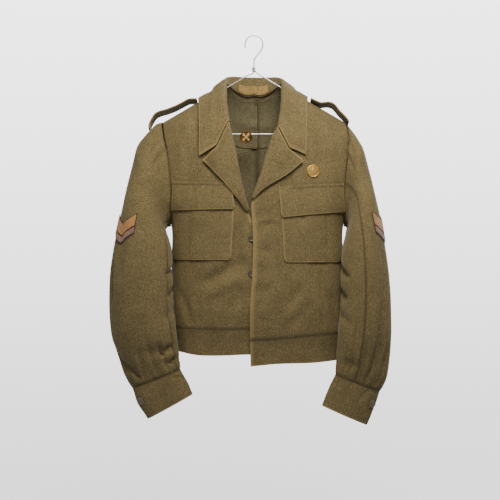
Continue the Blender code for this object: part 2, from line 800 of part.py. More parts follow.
def make_flaps():
    for side in ("right", "left"):
        inner_top, outer_top, inner_low, outer_low = FLAP[side]
        rows = []
        for share, height in FLAP_ROWS:
            row = []
            for k in range(FLAP_COLUMNS + 1):
                u = k / FLAP_COLUMNS
                x = mix(mix(inner_top[0], inner_low[0], share), mix(outer_top[0], outer_low[0], share), u)
                z = mix(mix(inner_top[1], inner_low[1], share), mix(outer_top[1], outer_low[1], share), u)
                if share == 1.0 and k == 0:
                    z += 0.004
                row.append(on_body(x, z, side, height))
            rows.append(row)
        sheet(f"flap_{side}", facing_out(rows, side == "right"), WOOL_LOOK, WOOL, outward=True)


def ring_centre(rows, place):
    """Centre of a sleeve or cuff ring, and its reach to the outer side and to the front."""
    outer = Vector([along(rows, place, n) for n in (1, 2, 3)])
    inner = Vector([along(rows, place, n) for n in (4, 5, 6)])
    wide = (outer - inner) / 2
    deep = Vector((0, -1, 0))
    deep -= wide * deep.dot(wide) / wide.length_squared
    return (outer + inner) / 2, wide, deep.normalized() * along(rows, place, 7)


def ring_point(rows, place, turn):
    """A point on a ring, turn 0 at its outer side, then the front."""
    centre, wide, deep = ring_centre(rows, place)
    return centre + wide * cos(turn) + deep * sin(turn)


def crease(side, place, turn):
    depth = 0.0
    degrees_round = turn * 180 / pi
    for at, angle, length, width, deep in SLEEVE_CREASES[side]:
        off = (degrees_round - angle + 180) % 360 - 180
        near = ((place - at) / length) ** 2 + (off / width) ** 2
        depth += deep * (1 - near) ** 2 if near < 1 else 0.0
    return depth


def sleeve(side, place, turn):
    """Outer surface of a sleeve: place 0 at the armhole, SLEEVE_END at the cuff."""
    turn %= 2 * pi
    p = ring_point(SLEEVE[side], place, turn)
    centre = ring_centre(SLEEVE[side], place)[0]
    p += (centre - p).normalized() * crease(side, place, turn)
    if place >= SLEEVE_BLEND:
        return p
    half_turn = turn if turn <= pi else 2 * pi - turn
    x, z = armhole(side, half_turn)
    seam = body(angle_at(x, z), z, "left" if turn <= pi else "back")
    if abs(turn) < 0.001 or abs(half_turn - pi) < 0.001:
        seam.y = 0
    seam.x += copysign(ARMHOLE_SEAM + SLEEVE_HEAD_GAP * max(cos(turn), 0.0), x)
    return seam.lerp(p, ease(place / SLEEVE_BLEND))


def sleeve_normal(side, place, turn):
    round_way = sleeve(side, place, turn + 0.02) - sleeve(side, place, turn - 0.02)
    down = sleeve(side, place + 0.1, turn) - sleeve(side, place - 0.1, turn)
    normal = round_way.cross(down).normalized()
    centre = (sleeve(side, place, turn + pi) + sleeve(side, place, turn)) / 2
    return normal if normal.dot(sleeve(side, place, turn) - centre) > 0 else -normal


def ring_turns(first, last):
    """Turns in degrees from one seam of a ring to another."""
    full = list(ARM_TURNS) + [360 - turn for turn in ARM_TURNS[1:-1]]
    turns = {first, first + EDGE_TURN, last - EDGE_TURN, last}
    for turn in full:
        for lap in (turn - 360, turn):
            if first + 2 * EDGE_TURN < lap < last - 2 * EDGE_TURN:
                turns.add(lap)
    return sorted(turns)


def seam_inset(side, place, degrees_round, toward):
    """The step from a sleeve's seam into one of its pieces, square to the seam."""
    turn = radians(degrees_round)
    down = (sleeve(side, place + 0.1, turn) - sleeve(side, place - 0.1, turn)).normalized()
    return (toward - down * toward.dot(down)).normalized() * SLEEVE_SEAM / 2


def make_sleeves():
    for side in ("right", "left"):
        front = FRONT_SEAM[side]
        pieces = {
            "top_sleeve": ring_turns(BACK_SEAM - 360, front),
            "under_sleeve": ring_turns(front, BACK_SEAM),
        }
        for name, turns in pieces.items():
            rows = []
            for place in SLEEVE_RINGS:
                row = [sleeve(side, place, radians(turn)) for turn in turns]
                row[0] += seam_inset(side, place, turns[0], row[1] - row[0])
                row[-1] += seam_inset(side, place, turns[-1], row[-2] - row[-1])
                rows.append(row)
            sheet(f"{name}_{side}", facing_out(rows, side == "left"), WOOL_LOOK, WOOL)


def cuff(side, place, turn):
    return ring_point(CUFF[side], place, turn)


def make_cuffs():
    turns = list(ARM_TURNS) + [360 - turn for turn in reversed(ARM_TURNS[1:-1])]
    for side in ("right", "left"):
        rows = []
        for j in range(CUFF_ROWS + 1):
            rows.append([cuff(side, CUFF_END * j / CUFF_ROWS, radians(turn)) for turn in turns])
        sheet(f"cuff_{side}", facing_out(rows, side == "left"), WOOL_LOOK, WOOL, ring=True)


def make_straps():
    for side in ("right", "left"):
        rows = []
        for n in range(2 * STRAP_END + 1):
            place = n / 2
            x = along(STRAP[side], place, 1)
            z = along(STRAP[side], place, 2)
            row = []
            for across in (-1, -0.5, 0, 0.5, 1):
                row.append(Vector((x, across * STRAP_HALF, z - across * STRAP_TILT)))
            rows.append(row)
        sheet(f"strap_{side}", facing_out(rows, side == "left"), WOOL_LOOK, STRAP_CLOTH)


def sleeve_at(side, turn, z):
    """Place along the sleeve where a line at this turn reaches a height."""
    low = 3.0
    high = float(SLEEVE_END)
    for _ in range(30):
        middle = (low + high) / 2
        if sleeve(side, middle, turn).z > z:
            low = middle
        else:
            high = middle
    return low


def make_chevrons():
    for side in ("right", "left"):
        tip_angle, half_arc, notch, tip, rise = CHEVRON[side]
        rows = []
        for j in range(CHEVRON_ROWS + 1):
            row = []
            for k in range(CHEVRON_COLUMNS + 1):
                across = 2 * k / CHEVRON_COLUMNS - 1
                turn = radians(tip_angle + across * half_arc)
                z = mix(notch, tip, j / CHEVRON_ROWS) + rise * abs(across)
                place = sleeve_at(side, turn, z)
                normal = sleeve_normal(side, place, turn)
                row.append(sleeve(side, place, turn) + normal * LAID)
            rows.append(row)
        sheet(f"chevron_{side}", facing_out(rows, side == "left"), CHEVRON_LOOK, TRIM, outward=True)


def turned(name, profile, look):
    """A turned piece from a profile of radius and height, outer side top to bottom."""
    mesh = bpy.data.meshes.new(name)
    edges = [(n, n + 1) for n in range(len(profile) - 1)]
    mesh.from_pydata([(radius, 0, height) for radius, height in profile], edges, [])
    made = add_object(name, mesh, look)
    screw = made.modifiers.new("turn", "SCREW")
    screw.steps = ROUND_STEPS
    screw.render_steps = ROUND_STEPS
    screw.use_merge_vertices = True
    screw.merge_threshold = 0.00005
    return made


def place_on(made, point, normal):
    """Stands a turned piece with its back at a point, its axis along a normal."""
    made.matrix_world = Matrix.Translation(point) @ normal.to_track_quat("Z", "Y").to_matrix().to_4x4()


def button(name, point, normal):
    top = BUTTON_THICKNESS
    profile = (
        (0.0, top * 0.72),
        (BUTTON_RADIUS * 0.62, top * 0.72),
        (BUTTON_RADIUS * 0.74, top),
        (BUTTON_RADIUS * 0.92, top),
        (BUTTON_RADIUS, top * 0.6),
        (BUTTON_RADIUS * 0.84, 0.0),
        (0.0, 0.0),
    )
    place_on(turned(name, profile, BUTTON_LOOK), point, normal)


def make_buttons():
    for name, height in (("front_button_upper", -0.4250), ("front_button_lower", -0.4965)):
        point = on_body(-0.0035, height, "right", 2 * SEAM)
        button(name, point, body_normal(angle_at(-0.0035, height), height, "right"))
    for side, place, degrees_round in (("right", 0.92, 36), ("left", 0.98, 36)):
        turn = radians(degrees_round)
        p = cuff(side, place, turn)
        normal = (cuff(side, place, turn + 0.1) - cuff(side, place, turn - 0.1)).cross(
            cuff(side, place + 0.1, turn) - cuff(side, place - 0.1, turn)
        ).normalized()
        if normal.y > 0:
            normal = -normal
        button(f"cuff_button_{side}", p + normal * 0.0012, normal)


def boss(name, outline, height):
    """A flat raised figure, which is joined to a disc and not built itself."""
    curve = bpy.data.curves.new(name, "CURVE")
    curve.dimensions = "2D"
    curve.fill_mode = "BOTH"
    curve.extrude = height / 2
    spline = curve.splines.new("POLY")
    spline.points.add(len(outline) - 1)
    for point, (x, y) in zip(spline.points, outline):
        point.co = (x, y, 0, 1)
    spline.use_cyclic_u = True
    drawn = bpy.data.objects.new(name, curve)
    CUTTERS.objects.link(drawn)
    bpy.context.view_layer.update()
    mesh = bpy.data.meshes.new_from_object(drawn.evaluated_get(bpy.context.evaluated_depsgraph_get()))
    bpy.data.objects.remove(drawn)
    work = bmesh.new()
    work.from_mesh(mesh)
    bmesh.ops.remove_doubles(work, verts=work.verts, dist=0.00001)
    work.to_mesh(mesh)
    work.free()
    made = bpy.data.objects.new(name, mesh)
    made.hide_render = True
    made.display_type = "WIRE"
    CUTTERS.objects.link(made)
    return made


def star_outline(radius):
    points = []
    for n in range(10):
        size = radius if n % 2 == 0 else radius * 0.42
        turn = pi / 2 + n * pi / 5
        points.append((size * cos(turn), size * sin(turn)))
    return points


def bar_outline(length, wide, narrow):
    """A bar that is wider at its ends than in the middle."""
    return (
        (-length, -wide),
        (0, -narrow),
        (length, -wide),
        (length, wide),
        (0, narrow),
        (-length, wide),
    )


def disc(name, figures):
    profile = (
        (0.0, DISC_FIELD),
        (DISC_RADIUS * 0.84, DISC_FIELD),
        (DISC_RADIUS * 0.88, DISC_RIM),
        (DISC_RADIUS * 0.97, DISC_RIM),
        (DISC_RADIUS, DISC_RIM * 0.7),
        (DISC_RADIUS * 0.98, 0.0),
        (0.0, 0.0),
    )
    made = turned(name, profile, BRASS_LOOK)
    for figure in figures:
        figure.parent = made
        join = made.modifiers.new("raise", "BOOLEAN")
        join.operation = "UNION"
        join.object = figure
    return made


def make_discs():
    raised = 0.0014
    star = boss("star_figure", star_outline(DISC_RADIUS * 0.66), raised)
    star.location.z = DISC_FIELD
    made = disc("star_disc", [star])
    x = 0.1209
    z = -0.2876
    place_on(made, on_body(x, z, "left", SEAM), body_normal(angle_at(x, z), z, "left"))
    bars = []
    for name, degrees_round in (("bar_figure_a", 45), ("bar_figure_b", -45)):
        bar = boss(name, bar_outline(DISC_RADIUS * 0.76, 0.0019, 0.0011), raised)
        bar.rotation_euler.z = radians(degrees_round)
        bar.location.z = DISC_FIELD
        bars.append(bar)
    made = disc("cross_disc", bars)
    place_on(made, Vector((-0.0168, -WIRE - SEAM, -0.2125)), Vector((0, -1, 0)))


def hanger_points():
    """The wire's centre line: hook, stem, one arm, bar, other arm, then the twist."""
    crown = -HOOK_RADIUS
    radius = HOOK_RADIUS + WIRE
    points = []
    for degrees_round in range(200, -31, -15):
        turn = radians(degrees_round)
        points.append((radius * cos(turn), 0, crown + radius * sin(turn)))
    points += [(0.0125, 0, -0.0335), (0.0062, 0, -0.0405), (0.0020, 0, -0.0460), (0, 0, -0.0530)]
    points += [(0, 0, -0.0620), (0, 0, -0.0720), (-0.0015, 0, -0.0775), (-0.0060, 0, -0.0805)]
    arm_foot = SHOULDER_PEAK - ARM_DROP
    for n in range(9):
        x = mix(0.014, HANGER_HALF, n / 8)
        points.append((-x, 0, arm_foot - SHOULDER_SLOPE * x))
    corner = [(0.1845, -0.1835), (0.1885, -0.1885), (0.1900, -0.1940), (0.1885, -0.1995), (0.1835, -0.2040)]
    points += [(-x, 0, z) for x, z in corner]
    for n in range(9):
        points.append((mix(-0.1765, 0.1765, n / 8), 0, BAR_Z))
    points += [(x, 0, z) for x, z in reversed(corner)]
    for n in range(9):
        x = mix(HANGER_HALF, 0.014, n / 8)
        points.append((x, 0, arm_foot - SHOULDER_SLOPE * x))
    coil = 2 * WIRE + 0.0004
    turns = 2.5
    steps = 25
    points += [(0.0085, -0.0012, -0.0795), (0.0052, -0.0010, -0.0772)]
    for n in range(steps + 1):
        turn = 2 * pi * turns * n / steps
        z = mix(-0.0745, -0.0745 + turns * 0.0034, n / steps)
        points.append((coil * cos(turn), coil * sin(turn), z))
    return points


def make_hanger():
    curve = bpy.data.curves.new("hanger", "CURVE")
    curve.dimensions = "3D"
    curve.bevel_depth = WIRE
    curve.bevel_resolution = 2
    curve.use_fill_caps = True
    points = hanger_points()
    spline = curve.splines.new("POLY")
    spline.points.add(len(points) - 1)
    for point, place in zip(spline.points, points):
        point.co = (*place, 1)
    made = bpy.data.objects.new("hanger", curve)
    curve.materials.append(WIRE_LOOK)
    PARTS.objects.link(made)


for old in list(bpy.data.objects):
    bpy.data.objects.remove(old)

PARTS = bpy.data.collections.new("field jacket")
bpy.context.scene.collection.children.link(PARTS)
CUTTERS = bpy.data.collections.new("figures")
bpy.context.scene.collection.children.link(CUTTERS)

WOOL_LOOK = material("olive wool", (0.200, 0.152, 0.068), 0.95)
LINING_LOOK = material("inner wool", (0.165, 0.135, 0.075), 0.95)
TAPE_LOOK = material("neck tape", (0.45, 0.30, 0.09), 0.85)
CHEVRON_LOOK = material("chevron", (0.48, 0.22, 0.05), 0.85)
BUTTON_LOOK = material("button", (0.045, 0.032, 0.012), 0.45)
BRASS_LOOK = material("brass", (0.60, 0.36, 0.08), 0.35, 1.0)
WIRE_LOOK = material("wire", (0.55, 0.53, 0.48), 0.35, 1.0)

make_body()
make_waistband()
make_yoke()
make_collar()
make_neck_tape()
make_lapels()
make_pockets()
make_flaps()
make_sleeves()
make_cuffs()
make_straps()
make_chevrons()
make_buttons()
make_discs()
make_hanger()
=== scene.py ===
"""Looks of the short wool field jacket on its wire hanger.

The cloth is built again on the same surfaces as the solids (body, sleeve, cuff and
collar, from the same sizes), as finer shells with rounded edges, creases, stitching
and worn rims. Metres, +Z up; the front faces -Y and the wearer's right is at -X.
"""

import bmesh
import bpy
from math import acos, asin, copysign, cos, hypot, pi, radians, sin, sqrt
from mathutils import Matrix, Vector, noise


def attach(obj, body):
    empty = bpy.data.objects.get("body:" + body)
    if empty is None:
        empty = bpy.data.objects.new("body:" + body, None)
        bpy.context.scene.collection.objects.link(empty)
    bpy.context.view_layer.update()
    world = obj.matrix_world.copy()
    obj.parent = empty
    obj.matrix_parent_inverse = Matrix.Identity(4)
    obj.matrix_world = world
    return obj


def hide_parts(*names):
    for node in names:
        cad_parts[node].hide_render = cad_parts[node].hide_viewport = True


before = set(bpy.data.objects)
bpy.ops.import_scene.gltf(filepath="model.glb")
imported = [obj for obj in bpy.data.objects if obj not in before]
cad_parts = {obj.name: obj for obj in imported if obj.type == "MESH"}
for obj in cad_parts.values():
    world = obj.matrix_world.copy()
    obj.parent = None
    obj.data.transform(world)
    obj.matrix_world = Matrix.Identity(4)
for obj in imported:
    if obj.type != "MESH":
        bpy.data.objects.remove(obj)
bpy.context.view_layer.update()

# Cloth
WOOL = 0.0020
COLLAR_CLOTH = 0.0024
TRIM = 0.0012
SEAM = 0.0004
ARMHOLE_SEAM = 0.0009
# More room at the top of the armhole, where the sleeve's wall turns over the shoulder
SLEEVE_HEAD_GAP = 0.0018
SLEEVE_SEAM = 0.0007
LAID = 0.0007

# Shoulder line, neck and armholes
SHOULDER_PEAK = -0.070
SHOULDER_SLOPE = 0.585
SHOULDER_ROUND = 0.160
ROUND_POWER = 2.2
NECK_HALF = 0.058
NECK_DEPTH = 0.0485
TIP_X = 0.191
PIT_Z = -0.400
# Turns round an armhole in degrees, from the shoulder down the front to the armpit. The
# row at 77 is the lower edge of the inner yoke, and the one at 3 keeps a seam's wall square.
# Shares of a body panel's width where its columns stand
# The yoke's first row starts this share of the way down to its second one, at the middle
# and over the hanger's arms. Its rows lie this far inside the back's wall.
YOKE_MIDDLE_GAP = 0.0008
BODY_POWER = 2.4

# Body rings: height, centre x, half width, front depth, back depth
BODY = (
    (-0.700, 0.007, 0.176, 0.070, 0.064),
    (-0.650, 0.007, 0.177, 0.072, 0.066),
    (-0.615, 0.007, 0.180, 0.078, 0.071),
    (-0.570, 0.007, 0.182, 0.082, 0.074),
    (-0.470, 0.007, 0.180, 0.079, 0.072),
    (-0.400, 0.007, 0.180, 0.077, 0.070),
    (-0.330, 0.007, 0.199, 0.074, 0.068),
    (-0.250, 0.004, 0.208, 0.069, 0.066),
    (-0.180, 0.000, 0.212, 0.064, 0.064),
    (-0.060, 0.000, 0.214, 0.060, 0.062),
)
RING_X, RING_HALF, RING_FRONT, RING_BACK = 1, 2, 3, 4

# Armhole seams seen from the front: height, x
ARMHOLE = {
    "right": (
        (-0.400, -0.1740),
        (-0.375, -0.1712),
        (-0.342, -0.1710),
        (-0.297, -0.1740),
        (-0.252, -0.1787),
        (-0.217, -0.1860),
        (-0.1817, -0.1910),
    ),
    "left": (
        (-0.400, 0.1880),
        (-0.365, 0.1860),
        (-0.320, 0.1870),
        (-0.288, 0.1900),
        (-0.242, 0.1960),
        (-0.206, 0.1965),
        (-0.1817, 0.1910),
    ),
}

# Inner edge of each front, from its hem up the closure and the roll to the neck: height, x
FRONT_EDGE = {
    "right": (
        (-0.700, 0.0300),
        (-0.470, 0.0300),
        (-0.430, 0.0150),
        (-0.388, -0.0030),
        (-0.349, -0.0145),
        (-0.307, -0.0252),
        (-0.261, -0.0345),
        (-0.205, -0.0455),
        (-0.1845, -0.0511),
        (-0.150, -0.0550),
        (-0.104, -0.0580),
    ),
    "left": (
        (-0.700, -0.0060),
        (-0.634, -0.0082),
        (-0.554, -0.0080),
        (-0.492, -0.0037),
        (-0.421, -0.0023),
        (-0.353, -0.0064),
        (-0.342, -0.0045),
        (-0.3165, 0.0041),
        (-0.289, 0.0150),
        (-0.243, 0.0279),
        (-0.216, 0.0371),
        (-0.1955, 0.0475),
        (-0.150, 0.0550),
        (-0.104, 0.0580),
    ),
}

# Waist seam and hem: x, waist seam height, hem height
WAIST = {
    "right": (
        (-0.177, -0.6110, -0.6590),
        (-0.156, -0.6115, -0.6600),
        (-0.1115, -0.6120, -0.6664),
        (-0.0105, -0.6120, -0.6642),
        (0.030, -0.6120, -0.6642),
    ),
    "left": (
        (-0.008, -0.6347, -0.6880),
        (0.047, -0.6320, -0.6830),
        (0.119, -0.6255, -0.6815),
        (0.171, -0.6232, -0.6780),
        (0.191, -0.6225, -0.6770),
    ),
    "back": (
        (-0.177, -0.6110, -0.6590),
        (0.007, -0.6170, -0.6690),
        (0.191, -0.6225, -0.6770),
    ),
}

# Heights near the middle of the waist seam and the hem, and the centre back seam
WAIST_MIDDLE = -0.625
HEM_MIDDLE = -0.670
CENTRE_BACK = 0.0075

# The right front passes under the left one
UNDERLAP = 0.0062
UNDERLAP_START = -0.062
UNDERLAP_FULL = -0.022
UNDERLAP_TOP = -0.310
UNDERLAP_BELOW = -0.370

# Sleeve rings, from the armhole to the cuff:
# place, outer x, outer y, outer z, inner x, inner y, inner z, half depth
SLEEVE = {
    "right": (
        (0, -0.1910, 0.000, -0.1817, -0.1740, 0.000, -0.4000, 0.038),
        (1, -0.2045, -0.002, -0.1845, -0.1800, -0.003, -0.4010, 0.044),
        (2, -0.2160, -0.004, -0.1965, -0.1820, -0.008, -0.4030, 0.048),
        (3, -0.2280, -0.006, -0.2100, -0.1835, -0.014, -0.4050, 0.050),
        (4, -0.2440, -0.009, -0.2335, -0.1840, -0.022, -0.4090, 0.051),
        (5, -0.2540, -0.013, -0.2740, -0.1810, -0.033, -0.4150, 0.052),
        (6, -0.2650, -0.030, -0.3260, -0.1760, -0.045, -0.4260, 0.052),
        (7, -0.2757, -0.038, -0.3810, -0.1705, -0.055, -0.4460, 0.052),
        (8, -0.2865, -0.044, -0.4330, -0.1675, -0.060, -0.4750, 0.052),
        (9, -0.2940, -0.047, -0.4780, -0.1670, -0.062, -0.5070, 0.051),
        (10, -0.2975, -0.049, -0.5250, -0.1660, -0.062, -0.5410, 0.050),
        (11, -0.2975, -0.050, -0.5740, -0.1640, -0.062, -0.5760, 0.048),
        (12, -0.2930, -0.050, -0.6240, -0.1600, -0.062, -0.6120, 0.044),
        (13, -0.2815, -0.050, -0.6610, -0.1565, -0.061, -0.6430, 0.037),
        (14, -0.2680, -0.050, -0.7020, -0.1530, -0.060, -0.6690, 0.028),
        (15, -0.2515, -0.050, -0.7325, -0.1520, -0.059, -0.6937, 0.019),
    ),
    "left": (
        (0, 0.1910, 0.000, -0.1817, 0.1880, 0.000, -0.4000, 0.038),
        (1, 0.1985, -0.002, -0.1900, 0.1945, -0.004, -0.4010, 0.043),
        (2, 0.2080, -0.004, -0.2030, 0.1950, -0.009, -0.4030, 0.047),
        (3, 0.2170, -0.006, -0.2165, 0.1950, -0.015, -0.4050, 0.050),
        (4, 0.2280, -0.009, -0.2370, 0.1940, -0.024, -0.4090, 0.051),
        (5, 0.2375, -0.013, -0.2750, 0.1910, -0.035, -0.4150, 0.052),
        (6, 0.2485, -0.030, -0.3270, 0.1870, -0.046, -0.4260, 0.053),
        (7, 0.2590, -0.038, -0.3810, 0.1825, -0.055, -0.4460, 0.054),
        (8, 0.2670, -0.044, -0.4330, 0.1800, -0.060, -0.4750, 0.055),
        (9, 0.2745, -0.047, -0.4780, 0.1790, -0.062, -0.5070, 0.055),
        (10, 0.2795, -0.049, -0.5250, 0.1790, -0.062, -0.5410, 0.054),
        (11, 0.2815, -0.050, -0.5740, 0.1770, -0.062, -0.5800, 0.052),
        (12, 0.2820, -0.050, -0.6240, 0.1730, -0.062, -0.6180, 0.047),
        (13, 0.2795, -0.050, -0.6660, 0.1700, -0.061, -0.6500, 0.039),
        (14, 0.2730, -0.050, -0.7100, 0.1680, -0.060, -0.6780, 0.029),
        (15, 0.2595, -0.050, -0.7395, 0.1670, -0.059, -0.7045, 0.019),
    ),
}
SLEEVE_END = 15
SLEEVE_BLEND = 1.5
# Turns in degrees where the seams between the top and the under sleeve run
FRONT_SEAM = {"right": 153, "left": 102}
BACK_SEAM = 258

# The deepest creases of the sleeves:
# place, angle round the ring, half length in place, half width in degrees, depth
SLEEVE_CREASES = {
    "right": (
        (1.6, 62, 1.6, 26, 0.0035),
        (13.2, 120, 0.55, 50, 0.0060),
        (14.1, 150, 0.40, 55, 0.0045),
        (13.9, 40, 0.45, 34, 0.0045),
        (10.4, 165, 0.9, 30, 0.0040),
    ),
    "left": (
        (1.7, 58, 1.5, 26, 0.0035),
        (13.0, 52, 1.6, 22, 0.0045),
        (13.9, 128, 0.50, 44, 0.0050),
        (10.6, 160, 1.0, 28, 0.0035),
    ),
}

# Cuff rings: place, outer x, outer y, outer z, inner x, inner y, inner z, half depth
CUFF = {
    "right": (
        (0, -0.2507, -0.050, -0.7332, -0.1516, -0.059, -0.6943, 0.0180),
        (1, -0.2395, -0.051, -0.7655, -0.1390, -0.060, -0.7160, 0.0170),
        (2, -0.2185, -0.052, -0.7970, -0.1255, -0.060, -0.7450, 0.0165),
    ),
    "left": (
        (0, 0.2587, -0.050, -0.7402, 0.1666, -0.059, -0.7051, 0.0180),
        (1, 0.2495, -0.051, -0.7680, 0.1540, -0.060, -0.7310, 0.0170),
        (2, 0.2320, -0.052, -0.8095, 0.1385, -0.061, -0.7680, 0.0165),
    ),
}
CUFF_END = 2

# Collar stations from the right front to the left front:
# place, fold x, fold y, fold z, leaf edge x, leaf edge y, leaf edge z, height off the body
COLLAR = (
    (0, -0.0530, -0.0618, -0.1835, -0.1130, -0.0680, -0.2570, 0.0046),
    (1, -0.0570, -0.0480, -0.1500, -0.1135, -0.0560, -0.2000, 0.0050),
    (2, -0.0583, -0.0250, -0.1150, -0.1140, -0.0300, -0.1500, 0.0052),
    (3, -0.0588, 0.0060, -0.0900, -0.1110, 0.0120, -0.1330, 0.0052),
    (4, -0.0470, 0.0350, -0.0810, -0.0900, 0.0560, -0.1450, 0.0045),
    (5, -0.0250, 0.0480, -0.0800, -0.0480, 0.0800, -0.1500, 0.0035),
    (6, 0.0010, 0.0520, -0.0804, 0.0030, 0.0850, -0.1510, 0.0030),
    (7, 0.0260, 0.0480, -0.0810, 0.0520, 0.0800, -0.1500, 0.0035),
    (8, 0.0470, 0.0350, -0.0824, 0.0900, 0.0560, -0.1440, 0.0045),
    (9, 0.0584, 0.0060, -0.0920, 0.1075, 0.0120, -0.1310, 0.0052),
    (10, 0.0580, -0.0250, -0.1170, 0.1090, -0.0300, -0.1480, 0.0052),
    (11, 0.0560, -0.0480, -0.1560, 0.1085, -0.0560, -0.1980, 0.0050),
    (12, 0.0495, -0.0618, -0.1957, 0.1070, -0.0680, -0.2545, 0.0046),
)
COLLAR_END = 12
SHOULDER_PLACE = 3
STAND_INSET = 0.0010
STAND_LIFT = 0.0034
# The collar's front ends bend down to the gorge, where the lapel's notch opens:
# share of the way from the fold to the leaf's point, drop below the straight line
GORGE = {"right": (0.40, 0.0232), "left": (0.375, 0.0230)}

# Lapels: roll foot height and top height, then the outer edge from foot to tip (x, z)
LAPEL = {
    "right": {
        "foot": -0.3680,
        "top": -0.1875,
        "edge": ((-0.0155, -0.3700), (-0.0325, -0.3470), (-0.0661, -0.3061), (-0.1050, -0.2655)),
    },
    "left": {
        "foot": -0.3440,
        "top": -0.1975,
        "edge": ((0.0005, -0.3440), (0.0240, -0.3222), (0.0660, -0.2965), (0.1012, -0.2680)),
    },
}
NOTCH = {"right": (0.456, 0.0152), "left": (0.41, 0.0151)}
# Section of the rolled edge: distance out from the roll, height over the front
ROLL = ((0.0042, 0.0009), (0.0010, 0.0012), (0.0000, 0.0042), (0.0012, 0.0072), (0.0050, 0.0086))
# The front's edge stands back behind the roll, from this far below the roll's foot
ROLL_INSET = 0.0046
ROLL_RAMP = {"right": 0.034, "left": 0.012}
LAPEL_HEIGHT = 0.0086
LAPEL_EDGE_HEIGHT = 0.0076

# Pockets: height, inner x, outer x; pleat lines at top and bottom
POCKET = {
    "right": {
        "top": (-0.3560, -0.0412, -0.1668),
        "bottom": (-0.4700, -0.0473, -0.1664),
        "pleat": ((-0.0879, -0.1264), (-0.0937, -0.1299)),
    },
    "left": {
        "top": (-0.3680, 0.0552, 0.1825),
        "bottom": (-0.4750, 0.0612, 0.1800),
        "pleat": ((0.1040, 0.1436), (0.1111, 0.1487)),
    },
}
PLEAT_RISE = 0.0014

# Flaps: inner top, outer top, inner bottom, outer bottom (x, z)
FLAP = {
    "right": ((-0.0450, -0.3115), (-0.1672, -0.3065), (-0.0412, -0.3665), (-0.1668, -0.3673)),
    "left": ((0.0500, -0.3180), (0.1836, -0.3105), (0.0552, -0.3838), (0.1830, -0.3700)),
}
# Rows of a flap: share of its height, height off the front
FLAP_ROWS = (
    (0.00, 0.0007),
    (0.04, 0.0018),
    (0.09, 0.0018),
    (0.13, 0.0008),
    (0.22, 0.0014),
    (0.45, 0.0030),
    (0.70, 0.0046),
    (1.00, 0.0052),
)

# Shoulder straps along their top face: place, x, z
STRAP = {
    "right": (
        (0, -0.2206, -0.1985),
        (1, -0.2200, -0.1900),
        (2, -0.2155, -0.1795),
        (3, -0.2080, -0.1680),
        (4, -0.1990, -0.1622),
        (5, -0.1830, -0.1578),
        (6, -0.1646, -0.1508),
        (7, -0.1510, -0.1436),
        (8, -0.1360, -0.1362),
        (9, -0.1190, -0.1355),
    ),
    "left": (
        (0, 0.1990, -0.1835),
        (1, 0.1955, -0.1775),
        (2, 0.1890, -0.1705),
        (3, 0.1800, -0.1615),
        (4, 0.1715, -0.1505),
        (5, 0.1636, -0.1447),
        (6, 0.1545, -0.1428),
        (7, 0.1460, -0.1432),
        (8, 0.1370, -0.1430),
        (9, 0.1190, -0.1345),
    ),
}
STRAP_END = 9
STRAP_HALF = 0.022
STRAP_TILT = 0.0030
STRAP_CLOTH = 0.0030

# Chevrons on the sleeves: angle of the tip, half arc in degrees, top of the notch,
# tip height, rise of the outer end
CHEVRON = {
    "right": (44, 33, -0.3955, -0.4374, 0.021),
    "left": (30, 36, -0.3930, -0.4350, 0.021),
}

# Round pieces
BUTTON_RADIUS = 0.0083
BUTTON_THICKNESS = 0.0026
DISC_RADIUS = 0.0127
DISC_FIELD = 0.0016
DISC_RIM = 0.0026

# Hanger
WIRE = 0.0013
HOOK_RADIUS = 0.0175
ARM_DROP = 0.0046
HANGER_HALF = 0.1765
BAR_Z = -0.2057


def slope(rows, i, column):
    before = rows[max(i - 1, 0)]
    after = rows[min(i + 1, len(rows) - 1)]
    return (after[column] - before[column]) / (after[0] - before[0])


def along(rows, key, column):
    """One column of a table as a smooth curve over its first column."""
    if key <= rows[0][0]:
        return rows[0][column]
    if key >= rows[-1][0]:
        return rows[-1][column]
    i = max(n for n in range(len(rows) - 1) if rows[n][0] <= key)
    low = rows[i]
    high = rows[i + 1]
    span = high[0] - low[0]
    t = (key - low[0]) / span
    value = low[column] * (1 + 2 * t) * (1 - t) ** 2
    value += high[column] * t * t * (3 - 2 * t)
    value += slope(rows, i, column) * span * t * (1 - t) ** 2
    value -= slope(rows, i + 1, column) * span * t * t * (1 - t)
    return value


def ease(t):
    """0 to 1 with level ends."""
    t = min(max(t, 0.0), 1.0)
    return t * t * (3 - 2 * t)


def mix(a, b, t):
    return a + (b - a) * t


def shoulder_height(x):
    return SHOULDER_PEAK - SHOULDER_SLOPE * abs(x)


def rounding(drop):
    """How full the body is at a drop below the shoulder line."""
    t = min(max(drop / SHOULDER_ROUND, 0.0), 1.0)
    return (1 - (1 - t) ** ROUND_POWER) ** (1 / ROUND_POWER)


def underlap(x, z):
    """How far the right front lies under the left one."""
    across = ease((x - UNDERLAP_START) / (UNDERLAP_FULL - UNDERLAP_START))
    down = ease((UNDERLAP_TOP - z) / (UNDERLAP_TOP - UNDERLAP_BELOW))
    return UNDERLAP * across * down


def body(angle, z, face):
    """Outer surface of the body: angle 0 at the middle, a quarter turn at the side."""
    turn = min(abs(angle), pi / 2)
    half = along(BODY, z, RING_HALF)
    x = along(BODY, z, RING_X) + copysign(half * sin(turn) ** (2 / BODY_POWER), angle)
    depth = along(BODY, z, RING_BACK if face == "back" else RING_FRONT)
    depth *= max(cos(turn), 0.0) ** (2 / BODY_POWER) * rounding(shoulder_height(x) - z)
    depth += SEAM / 2
    if face == "right":
        depth -= underlap(x, z)
    return Vector((x, depth if face == "back" else -depth, z))


def angle_at(x, z):
    """The body's angle at an x and a height."""
    reach = (x - along(BODY, z, RING_X)) / along(BODY, z, RING_HALF)
    return copysign(asin(min(abs(reach), 1.0) ** (BODY_POWER / 2)), reach)


